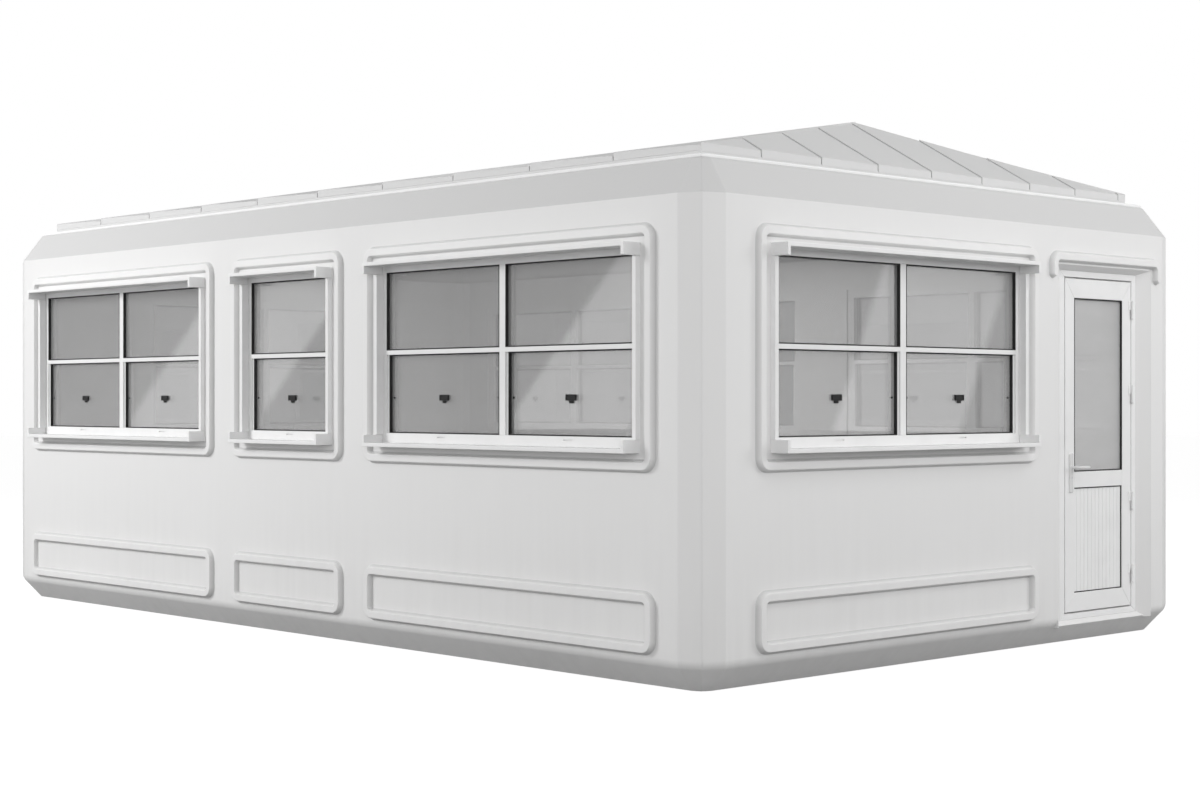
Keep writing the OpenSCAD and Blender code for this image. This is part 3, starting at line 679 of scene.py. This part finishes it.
BEAD_W = 0.009
BEAD_SET = 0.004
BOARDS = 13
BOARD_FRONT = REVEAL_D + 0.010
BOARD_BACK = REVEAL_D + 0.034
GROOVE_R = 0.006
PANE = (-PANE_HALF, PANE_HALF)
GLASS_SEAL_D = (REVEAL_D, REVEAL_D + 0.012)
BOARD_SHADE_RING_D = (REVEAL_D + 0.006, REVEAL_D + 0.011)
LEAF_GAP = 0.008
DOOR_FRAME_BACK = REVEAL_D + 0.055


def door_leaf_frame():
    """Stiles and rails with mitred corners, the middle rail, and beads behind the boards and the glass."""
    bm = bmesh.new()
    depth = (REVEAL_D, LEAF_BACK)
    mitred_frame(bm, ((-LEAF_HALF, LEAF_HALF), (LEAF_LOW, LEAF_TOP)), (PANE, (DOOR_PANEL[0], DOOR_GLASS[1])),
                 depth)
    block(bm, PANE, depth, (DOOR_PANEL[1], DOOR_GLASS[0]))
    soften(bm, 0.003)
    for row in (DOOR_PANEL, DOOR_GLASS):
        inset_ring(bm, PANE, row, BEAD_W, (BOARD_BACK, LEAF_BACK - BEAD_SET))
    place(bm, set(), DOOR)
    piece("door_leaf_frame", bm, "door", "white_frame", FRAME, "door_leaf")


def door_boards():
    """Upright boards with a rounded groove between neighbours."""
    bm = bmesh.new()
    step = 2 * PANE_HALF / BOARDS
    for i in range(BOARDS):
        x = -PANE_HALF + i * step
        block(bm, (x, x + step), (BOARD_FRONT, BOARD_BACK), DOOR_PANEL)
    round_edges(bm, [e for e in bm.edges if (e.verts[0].co - e.verts[1].co).xy.length < 1e-6], GROOVE_R)
    place(bm, set(), DOOR)
    piece("door_boards", bm, "door", "white_frame", FRAME, "door_panel")


def door_seal_and_shade_ring():
    """A seal ring flush round the glass, and a black ring sunk in front of the boards that is painted shade
    for the gap round them.
    """
    bm = bmesh.new()
    inset_ring(bm, PANE, DOOR_GLASS, SEAL_W, GLASS_SEAL_D)
    # painted shade: a black ring where the gap round the boards lies in shade
    inset_ring(bm, PANE, DOOR_PANEL, SEAL_W, BOARD_SHADE_RING_D)
    soften(bm, 0.0015)
    place(bm, set(), DOOR)
    piece("door_seal_and_shade_ring", bm, "door", "black_gasket", SEAL, "door_gasket")


def door_frame_members():
    bm = bmesh.new()
    inner = DOOR_FRAME_HALF - DOOR_FRAME_W
    mitred_frame(bm, ((-DOOR_FRAME_HALF, DOOR_FRAME_HALF), (FLOOR_H, DOOR_FRAME_TOP)),
                 ((-inner, inner), (THRESHOLD_TOP, LEAF_TOP + LEAF_GAP)), (REVEAL_D, DOOR_FRAME_BACK))
    soften(bm, 0.003)
    place(bm, set(), DOOR)
    piece("door_frame_members", bm, "cabin", "white_frame", FRAME, "door_frame")


HINGE_R = 0.008
HINGE_OUT = 0.010
HINGE_PLATE_W = 0.030
HINGE_PLATE_T = 0.003
KNUCKLE_GAP = 0.001


def hinge_half(bm, low, high, plate, cap):
    """Knuckle with a domed cap at its top, or at its foot where cap is below 0, and its plate."""
    block(bm, plate, (REVEAL_D - HINGE_PLATE_T, REVEAL_D), (low, high))
    r = HINGE_R
    profile = [(0.0, low), (r - 0.001, low), (r, low + 0.001), (r, high - 0.003), (r - 0.001, high - 0.001),
               (r - 0.003, high), (0.0, high)]
    if cap < 0:
        profile = [(radius, low + high - height) for radius, height in reversed(profile)]
    revolved(bm, profile, (HINGE_AT, REVEAL_D - HINGE_OUT, 0.0), (0, 0, 1), (1, 0, 0))


def door_hinges():
    """Lower halves on the frame and upper halves on the leaf."""
    for name, body, node, side in (("frame_knuckles", "cabin", "frame_hinges", 1),
                                   ("leaf_knuckles", "door", "leaf_hinges", -1)):
        bm = bmesh.new()
        for z in HINGE_Z:
            if side > 0:
                low, high = z - HINGE_H / 2, z - KNUCKLE_GAP
                plate = (HINGE_AT, HINGE_AT + HINGE_PLATE_W)
            else:
                low, high = z, z + HINGE_H / 2
                plate = (HINGE_AT - HINGE_PLATE_W, HINGE_AT)
            hinge_half(bm, low, high, plate, -side)
        round_edges(bm, sharp_edges(bm, 1.4), 0.0008)
        place(bm, set(), DOOR)
        piece(name, bm, body, "white_hinge", HINGE, node)


PLATE_LOW = LEVER_Z - 0.140
PLATE_TOP = PLATE_LOW + 0.218
PLATE_HALF = 0.016
PLATE_DEPTH = 0.008
PLATE_CORNER = 0.009
LOCK_Z = LEVER_Z - 0.057
BOSSES = ((LEVER_Z, 0.0135, 0.003), (LOCK_Z, 0.0085, 0.002))
KEY_HALF_W = 0.0009
KEY_HALF_H = 0.0045
KEY_RISE = 0.0018
KEY_D = 0.0004
LEAF_FACES = ((REVEAL_D, -1), (LEAF_BACK, 1))


def handle_backplates():
    """Long plates with rounded ends on both faces, each with a collar for the lever and a lock barrel."""
    bm = bmesh.new()
    for y, out in LEAF_FACES:
        block(bm, (LEVER_AT - PLATE_HALF, LEVER_AT + PLATE_HALF), (y, y + out * PLATE_DEPTH),
              (PLATE_LOW, PLATE_TOP))
    bmesh.ops.recalc_face_normals(bm, faces=bm.faces)
    round_edges(bm, [e for e in bm.edges if abs(e.verts[0].co.y - e.verts[1].co.y) > 1e-4], PLATE_CORNER, 6)
    soften(bm, 0.002, 3)
    for y, out in LEAF_FACES:
        face = y + out * PLATE_DEPTH
        for z, r, rise in BOSSES:
            boss = [(0.0, rise), (r - 0.002, rise), (r - 0.0006, rise - 0.0006), (r, 0.0), (0.0, -0.001)]
            revolved(bm, boss, (LEVER_AT, face, z), (0, out, 0), (1, 0, 0), 24)
    place(bm, set(), DOOR)
    piece("handle_backplates", bm, "door", "satin_handle", HANDLE, "handle_plates")


def key_slots():
    """Black sliver in each lock barrel, painted shade for the keyhole."""
    bm = bmesh.new()
    for y, out in LEAF_FACES:
        face = y + out * (PLATE_DEPTH + KEY_RISE)
        block(bm, (LEVER_AT - KEY_HALF_W, LEVER_AT + KEY_HALF_W), (face, face + out * KEY_D),
              (LOCK_Z - KEY_HALF_H, LOCK_Z + KEY_HALF_H))
    soften(bm, 0.0001, 1)
    place(bm, set(), DOOR)
    # the black pull plastic here is painted shade for the keyhole
    piece("key_slots", bm, "door", "black_pull", PULL)


BAR_R = 0.008
NECK_OUT = 0.042
NECK_BEND = 0.014

# Stretches of the grip after the bend as (length, share of depth kept, share of height kept)
GRIP = ((0.020, 0.95, 1.0), (0.058, 0.86, 0.94), (0.016, 0.86, 0.9), (0.005, 0.72, 0.78), (0.002, 0.5, 0.55))


def lever_grips():
    """On each face a neck that bends into a flat-sided, tapering grip with a rounded tip."""
    bm = bmesh.new()
    for y, out in LEAF_FACES:
        known = set(bm.verts)
        ring = bmesh.ops.create_circle(bm, segments=20, radius=BAR_R)["verts"]
        edges = list({e for v in ring for e in v.link_edges})
        bmesh.ops.contextual_create(bm, geom=edges)
        end = verts_of(bmesh.ops.extrude_edge_only(bm, edges=edges)["geom"])
        bmesh.ops.translate(bm, verts=end, vec=(0, 0, NECK_OUT - NECK_BEND))
        loop = list({e for v in end for e in v.link_edges if all(w in end for w in e.verts)})
        loop = edges_of(bmesh.ops.spin(bm, geom=end + loop, cent=(NECK_BEND, 0, NECK_OUT - NECK_BEND),
                                       axis=(0, 1, 0), angle=math.pi / 2, steps=8)["geom_last"])
        for length, flat, tall in GRIP:
            grown = bmesh.ops.extrude_edge_only(bm, edges=loop)["geom"]
            tip = verts_of(grown)
            loop = [e for e in edges_of(grown) if len(e.link_faces) == 1]
            centre = sum((v.co for v in tip), Vector()) / len(tip)
            bmesh.ops.scale(bm, vec=(1, tall, flat), verts=tip, space=Matrix.Translation(-centre))
            bmesh.ops.translate(bm, verts=tip, vec=(length, 0, 0))
        bmesh.ops.contextual_create(bm, geom=loop)
        turn = Matrix.Rotation(-out * math.pi / 2, 4, "X")
        place(bm, known, Matrix.Translation((LEVER_AT, y + out * PLATE_DEPTH, LEVER_Z)) @ turn)
    place(bm, set(), DOOR)
    piece("lever_grips", bm, "lever", "satin_handle", HANDLE, "door_lever")


for wall_side in WALLS:
    wall_ribs(wall_side)
    wall_frames(wall_side)
door_hood_rib()
trim_piece("window_hood_boards", hood_board, 0.003, "white_frame", CASING, "window_hoods")
trim_piece("window_sill_boards", sill_board, 0.003, "white_frame", CASING, "window_sills")
trim_piece("window_lining_plates", lining_plates, 0.003, "white_frame", CASING, "window_side_plates")
trim_piece("window_seal_rings", seal_rings, 0.0015, "black_gasket", SEAL, "window_gaskets")
trim_piece("sash_finger_pulls", sash_pulls, 0.0015, "black_pull", PULL, "window_latches")
door_leaf_frame()
door_boards()
door_seal_and_shade_ring()
door_frame_members()
door_hinges()
handle_backplates()
key_slots()
lever_grips()


# Shell

CORNER_LEG = 0.157
BASE_INSET = 0.115
CORNICE_INSET = 0.122
CORNICE_TOP = 2.458
WALL_T = 0.100
FOOT_FILLET = 0.070
DOORWAY_HALF = 0.465
DOORWAY_TOP = 2.082
NOTCH_LOW = 0.1034
NOTCH_IN = 0.0214
FACET_R = 0.005
CORNICE_T = 0.060
FLOOR_UNDER = 0.095

# How far in from a wall's face its outside is looked for
SKIN_REACH = 0.12


def shell_outline(inset):
    """Plan of the shell moved in by inset, with two facets at each corner."""
    hx = HALF_L - inset
    hy = HALF_W - inset
    leg = max(CORNER_LEG - inset * (1 - math.tan(math.pi / 16)), 0.002)
    k = leg * (1 - math.sqrt(0.5))
    quarter = [(hx, hy - leg), (hx - k, hy - k), (hx - leg, hy)]
    left = [(-x, y) for x, y in reversed(quarter)]
    return quarter + left + [(-x, -y) for x, y in quarter] + [(-x, -y) for x, y in left]


def filleted(points, radii, steps=6):
    """Profile of (inset, height) points with an arc in place of each inner corner."""
    path = [Vector(points[0])]
    for before, corner, after, radius in zip(points, points[1:], points[2:], radii):
        corner = Vector(corner)
        back = (Vector(before) - corner).normalized()
        on = (Vector(after) - corner).normalized()
        half = math.acos(back.dot(on)) / 2
        start = corner + back * radius / math.tan(half)
        end = corner + on * radius / math.tan(half)
        centre = corner + (back + on).normalized() * radius / math.sin(half)
        for i in range(steps + 1):
            mid = start.lerp(end, i / steps) - centre
            path.append(centre + mid.normalized() * radius)
    return path + [Vector(points[-1])]


def loft(bm, profile):
    """Bridges rings of the shell's plan up a profile of (inset, height) points."""
    rings = []
    for inset, height in profile:
        verts = [bm.verts.new((x, y, height)) for x, y in shell_outline(inset)]
        rings.append([bm.edges.new((a, verts[(i + 1) % len(verts)])) for i, a in enumerate(verts)])
    for low, high in zip(rings, rings[1:]):
        bmesh.ops.bridge_loops(bm, edges=low + high)
    return rings


def slice_wall(bm, wall, cuts):
    """Splits the outside of one wall along planes, each (point, direction) in the wall's frame."""
    back = wall.inverted()
    for point, along in cuts:
        near = [f for f in bm.faces if (back @ f.calc_center_median()).y < SKIN_REACH
                and abs((back.to_3x3() @ f.normal).x) < 0.05]
        geom = near + list({e for f in near for e in f.edges}) + list({v for f in near for v in f.verts})
        bmesh.ops.bisect_plane(bm, geom=geom, dist=1e-6, plane_co=wall @ Vector(point),
                               plane_no=wall.to_3x3() @ Vector(along))


def open_wall(bm, wall, x, z):
    """Takes out the faces of one wall between two places along it and two heights."""
    back = wall.inverted()
    gone = []
    for face in bm.faces:
        at = back @ face.calc_center_median()
        inside = at.y < SKIN_REACH and x[0] < at.x < x[1] and z[0] < at.z < z[1]
        if inside and (back.to_3x3() @ face.normal).y < -0.3:
            gone.append(face)
    bmesh.ops.delete(bm, geom=gone, context="FACES")


def window_openings(bm, wall, windows):
    cuts = [((0, 0, CASING_LOW), (0, 0, 1)), ((0, 0, CASING_TOP), (0, 0, 1))]
    for at, w, _ in windows:
        cuts += [((at - casing_half(w), 0, 0), (1, 0, 0)), ((at + casing_half(w), 0, 0), (1, 0, 0))]
    slice_wall(bm, wall, cuts)
    for at, w, _ in windows:
        open_wall(bm, wall, (at - casing_half(w), at + casing_half(w)), (CASING_LOW, CASING_TOP))


def doorway_opening(bm):
    slice_wall(bm, DOOR, [((-DOORWAY_HALF, 0, 0), (1, 0, 0)), ((DOORWAY_HALF, 0, 0), (1, 0, 0)),
                          ((0, 0, NOTCH_LOW), (0, 0, 1)), ((0, 0, DOORWAY_TOP), (0, 0, 1))])
    open_wall(bm, DOOR, (-DOORWAY_HALF, DOORWAY_HALF), (NOTCH_LOW, DOORWAY_TOP))


def shell_skin():
    """Walls, faceted corners and bevelled foot as one moulding with a soft fillet at the foot."""
    bm = bmesh.new()
    loft(bm, filleted([(BASE_INSET, 0.0), (0.0, FLOOR_H), (0.0, WALL_TOP)], [FOOT_FILLET]))
    round_facets(bm)
    for wall, windows in WALLS.values():
        window_openings(bm, wall, windows)
    doorway_opening(bm)
    bmesh.ops.holes_fill(bm, edges=[e for e in bm.edges if all(v.co.z < 1e-4 for v in e.verts)])
    piece("shell_skin", thicken(bm, WALL_T), "cabin", "shell_moulding", SHELL, "front_wall", "back_wall",
          "left_wall", "right_wall", "door_pier", "door_lintel", "corner_posts", "floor_base")


def round_facets(bm):
    """Softens the upright edges between the facets and turns all faces outwards."""
    bmesh.ops.recalc_face_normals(bm, faces=bm.faces)
    upright = [e for e in sharp_edges(bm, 0.2) if abs(e.verts[0].co.z - e.verts[1].co.z) > 1e-4]
    round_edges(bm, upright, FACET_R)
    if sum(f.normal.xy.dot(f.calc_center_median().xy) for f in bm.faces) < 0:
        bmesh.ops.reverse_faces(bm, faces=bm.faces)


def thicken(bm, depth):
    """Gives the moulding its thickness, inwards."""
    bmesh.ops.solidify(bm, geom=bm.faces, thickness=depth)
    return bm


def cornice_skin():
    bm = bmesh.new()
    loft(bm, [Vector((0.0, WALL_TOP)), Vector((CORNICE_INSET, CORNICE_TOP))])
    round_facets(bm)
    piece("cornice_skin", thicken(bm, CORNICE_T), "cabin", "base_moulding", CORNICE_SHADED_COPY, "front_cornice",
          "back_cornice", "left_cornice", "right_cornice")


LIP_INSET = 0.133
LIP_TOP = 2.478
LIP_IN = 0.32
LIP_R = 0.007


def eave_lip_band():
    """Ceiling slab whose rounded nose shows as a ledge under the roof."""
    bm = bmesh.new()
    nose = [(LIP_IN, CORNICE_TOP), (LIP_INSET, CORNICE_TOP), (LIP_INSET, LIP_TOP), (LIP_IN, LIP_TOP)]
    rings = loft(bm, filleted(nose, [LIP_R, LIP_R], 4))
    bmesh.ops.holes_fill(bm, edges=rings[0] + rings[-1])
    piece("eave_lip_band", bm, "cabin", "base_moulding", LIP_LIT_COPY, "eave_lip")


def profile_run(bm, outline, x):
    """Closed prism on an outline of (depth, height) points, run along the wall."""
    grow(bm, [(x[0], y, z) for y, z in outline], (x[1] - x[0], 0, 0))


def post(bm, outline, z):
    """Closed prism on a plan of (x, depth) points, from one height to another."""
    grow(bm, [(x, y, z[0]) for x, y in outline], (0, 0, z[1] - z[0]))


def doorway_reveal():
    """Splayed jambs, sloped soffit and sloped threshold round the door."""
    bm = bmesh.new()
    low = NOTCH_LOW - 0.008
    for side in (-1, 1):
        outer, inner = side * DOORWAY_HALF, side * DOOR_FRAME_HALF
        post(bm, [(outer, 0.0), (inner, REVEAL_D), (inner, WALL_T), (outer, WALL_T)], (low, DOORWAY_TOP))
    span = (-DOORWAY_HALF, DOORWAY_HALF)
    profile_run(bm, [(0.0, DOORWAY_TOP), (REVEAL_D, DOOR_FRAME_TOP), (WALL_T, DOOR_FRAME_TOP),
                     (WALL_T, DOORWAY_TOP)], span)
    profile_run(bm, [(NOTCH_IN, NOTCH_LOW), (REVEAL_D, FLOOR_H), (WALL_T, FLOOR_H), (WALL_T, low),
                     (0.030, low)], span)
    soften(bm, 0.0015)
    place(bm, set(), DOOR)
    piece("doorway_reveal", bm, "cabin", "shell_moulding", SHELL)


def room_floor():
    bm = bmesh.new()
    x = HALF_L - WALL_T
    y = HALF_W - WALL_T
    block(bm, (-x, x), (-y, y), (FLOOR_UNDER, FLOOR_H))
    soften(bm, 0.004)
    piece("room_floor", bm, "cabin", "base_moulding", BASE)


# Roof

FASCIA_INSET = 0.212
FASCIA_T = 0.040
FASCIA_BACK = 0.003
EAVE_Z = 2.538
ROOF_RISE = 0.312
HIP_RUN = 0.553
ROOF_T = 0.035
JOINT_W = 0.007
LAP_R = 0.0035
OVERRUN = 0.1

# Strips of a slope as (width, shift along the wall, height of the lap)
LONG_STRIPS = (0.617, 0.0, 0.015)
END_STRIPS = (0.440, -0.050, 0.005)


def cut_away(bm, point, outward):
    """Cuts off what lies beyond an upright plane and closes the cut."""
    geom = list(bm.verts) + list(bm.edges) + list(bm.faces)
    cut = bmesh.ops.bisect_plane(bm, geom=geom, dist=1e-6, plane_co=point, plane_no=outward, clear_outer=True)
    edges = edges_of(cut["geom_cut"])
    if edges:
        bmesh.ops.contextual_create(bm, geom=edges)


def join_trimmed(whole, bm, planes):
    """Trims one strip, rounds its edges and joins it to the slope."""
    for point, outward in planes:
        if bm.verts:
            cut_away(bm, point, outward)
    if bm.faces:
        soften(bm, LAP_R)
        join(whole, bm)
    else:
        bm.free()


def roof_strips(side, long_side):
    """Lapped strips of one slope, each starting high at its lap, cut at the eave, hips and ridge."""
    wall, _ = WALLS[side]
    half = (HALF_L if long_side else HALF_W) - FASCIA_INSET
    run = HALF_W - FASCIA_INSET if long_side else HIP_RUN
    hip = HIP_RUN if long_side else half
    width, shift, step = LONG_STRIPS if long_side else END_STRIPS
    pitch = math.atan2(ROOF_RISE, run)
    lay = Matrix.Translation((0, FASCIA_INSET, EAVE_Z)) @ Matrix.Rotation(pitch, 4, "X")
    planes = [((0, FASCIA_INSET, 0), (0, -1, 0)), ((half, FASCIA_INSET, 0), (run, hip, 0)),
              ((-half, FASCIA_INSET, 0), (-run, hip, 0))]
    if long_side:
        planes.append(((0, HALF_W, 0), (0, 1, 0)))
    whole = bmesh.new()
    count = math.ceil(half / width) + 1
    for i in range(-count, count + 1):
        bm = bmesh.new()
        near = shift + i * width + JOINT_W / 2
        far = shift + (i + 1) * width - JOINT_W / 2
        prism(bm, [(near, step / 2), (far, -step / 2), (far, -ROOF_T), (near, -ROOF_T)], -OVERRUN,
              run / math.cos(pitch) + OVERRUN)
        place(bm, set(), lay)
        join_trimmed(whole, bm, planes)
    bm = bmesh.new()
    face = FASCIA_INSET + FASCIA_BACK
    under = EAVE_Z - ROOF_T + FASCIA_BACK
    profile_run(bm, [(face, LIP_TOP), (face, under), (face + FASCIA_T, under), (face + FASCIA_T, LIP_TOP)],
                (-half, half))
    join_trimmed(whole, bm, planes[1:3])
    place(whole, set(), wall)
    piece(side + "_roof_strips", whole, "cabin", "roof_moulding", ROOF, side + "_roof")


for wall_side in WALLS:
    roof_strips(wall_side, wall_side in ("front", "back"))
shell_skin()
cornice_skin()
eave_lip_band()
doorway_reveal()
room_floor()


# Stage, light and camera

# Levels: the dome for plain light, what mirrors see, and the floor's own glow
DOME = 0.40
CARD_LIGHT = 1.0
CARD_GAP = 0.40
FLOOR_GREY = grey(0.27)
FLOOR_SEEN = 0.86
FLOOR_MIRRORED = 0.20

# Light cards in mirrors: their period, the middle of one, half their width and their soft edge
STREAK_PERIOD = math.radians(10.5)
STREAK_AT = math.radians(-147.75)
STREAK_HALF = math.radians(1.75)
STREAK_EDGE = math.radians(0.12)


def studio_reflection(tree, ray):
    """Brightness of the room in mirrors: leaning light cards side by side over a darker gap."""
    part = add(tree, "ShaderNodeSeparateXYZ", {0: ray}).outputs
    turn = math_node(tree, "ARCTAN2", part[1], part[0])
    lean = math_node(tree, "SUBTRACT", 0.5, math_node(tree, "MULTIPLY", part[1], 0.25))
    across = math_node(tree, "SUBTRACT", turn, math_node(tree, "MULTIPLY", part[2], lean))
    off = math_node(tree, "PINGPONG", math_node(tree, "SUBTRACT", across, STREAK_AT), STREAK_PERIOD / 2)
    card = add(tree, "ShaderNodeMapRange", {"Value": off, "From Min": STREAK_HALF + STREAK_EDGE,
                                            "From Max": STREAK_HALF - STREAK_EDGE, "To Min": CARD_GAP,
                                            "To Max": CARD_LIGHT})
    return card.outputs[0]


def studio_world(scene):
    """White backdrop for the camera, an even dome for light and light cards for mirrors."""
    world = bpy.data.worlds.new("studio")
    scene.world = world
    world.use_nodes = True
    tree = world.node_tree
    tree.nodes.clear()
    path = add(tree, "ShaderNodeLightPath")
    ray = add(tree, "ShaderNodeTexCoord").outputs["Generated"]
    mirrored = path.outputs["Is Glossy Ray"]
    strength = add(tree, "ShaderNodeMix", {"Factor": mirrored, 2: DOME, 3: studio_reflection(tree, ray)},
                   data_type="FLOAT").outputs[0]
    seen = path.outputs["Is Camera Ray"]
    strength = add(tree, "ShaderNodeMix", {"Factor": seen, 2: strength, 3: 1.0}, data_type="FLOAT").outputs[0]
    backdrop = add(tree, "ShaderNodeBackground", {"Color": (1, 1, 1, 1), "Strength": strength})
    add(tree, "ShaderNodeOutputWorld", {"Surface": backdrop.outputs[0]})


def studio_floor(scene):
    """Pale floor that throws little light back on the walls."""
    bm = bmesh.new()
    bmesh.ops.create_grid(bm, x_segments=4, y_segments=4, size=60)
    mesh = bpy.data.meshes.new("studio_floor")
    bm.to_mesh(mesh)
    bm.free()
    floor = bpy.data.objects.new("studio_floor", mesh)
    scene.collection.objects.link(floor)
    material, tree, _, shader, out = new_material("studio_floor")
    shader.inputs["Base Color"].default_value = FLOOR_GREY
    shader.inputs["Roughness"].default_value = 0.9
    shader.inputs["Specular IOR Level"].default_value = 0.1
    path = add(tree, "ShaderNodeLightPath")
    seen = math_node(tree, "MULTIPLY", path.outputs["Is Camera Ray"], FLOOR_SEEN)
    mirrored = math_node(tree, "MULTIPLY", path.outputs["Is Glossy Ray"], FLOOR_MIRRORED)
    glow = add(tree, "ShaderNodeEmission", {"Color": (1, 1, 1, 1),
                                            "Strength": math_node(tree, "ADD", seen, mirrored)})
    both = add(tree, "ShaderNodeAddShader", {0: shader.outputs[0], 1: glow.outputs[0]})
    tree.links.new(both.outputs[0], out.inputs["Surface"])
    mesh.materials.append(material)


# Lamps as (name, place, aim, size, power)
LAMPS = [
    ("door_side_light", (13.0, 0.5, 5.0), (3.3, 0.0, 1.6), 6.0, 160.0),
    ("door_top_light", (7.5, 0.6, 6.5), (3.3, 0.2, 1.9), 2.0, 85.0),
    ("back_graze_light", (9.5, 8.5, 4.0), (3.3, 0.2, 1.7), 3.0, 360.0),
    ("front_low_light", (-5.0, -12.0, 3.0), (-0.5, -2.0, 1.3), 5.0, 230.0),
    ("left_top_light", (-5.0, -9.0, 5.5), (-1.0, -2.0, 1.5), 2.0, 440.0),
    ("camera_side_light", (12.0, -11.0, 4.0), (1.5, -1.0, 1.5), 6.0, 520.0),
    ("back_left_light", (-9.0, 9.5, 5.0), (-1.0, 1.0, 1.4), 5.0, 420.0),
    ("room_light", (0.0, 0.0, 2.35), (0.0, 0.0, 0.0), 2.0, 60.0),
]


def studio_lamps(scene):
    """Square lamps that no mirror and no camera sees."""
    for name, stand, aim_at, size, power in LAMPS:
        lamp = bpy.data.lights.new(name, "AREA")
        lamp.shape = "SQUARE"
        lamp.size = size
        lamp.energy = power
        holder = bpy.data.objects.new(name, lamp)
        holder.location = stand
        aim = Vector(aim_at) - Vector(stand)
        holder.rotation_euler = aim.to_track_quat("-Z", "Y").to_euler()
        holder.visible_camera = False
        holder.visible_glossy = False
        scene.collection.objects.link(holder)


def photo_camera(scene):
    """Level camera at the photo's viewpoint."""
    camera = bpy.data.cameras.new("photo_camera")
    camera.sensor_width = 36.0
    camera.lens = 60.9
    camera.clip_end = 200.0
    stand = bpy.data.objects.new("photo_camera", camera)
    stand.location = (9.627, -8.592, 1.340)
    aim = Vector((-0.7292, 0.6843, 0.0))
    stand.rotation_euler = aim.to_track_quat("-Z", "Y").to_euler()
    scene.collection.objects.link(stand)
    scene.camera = stand


def studio():
    scene = bpy.context.scene
    scene.view_settings.view_transform = "Standard"
    studio_world(scene)
    studio_floor(scene)
    studio_lamps(scene)
    photo_camera(scene)


studio()
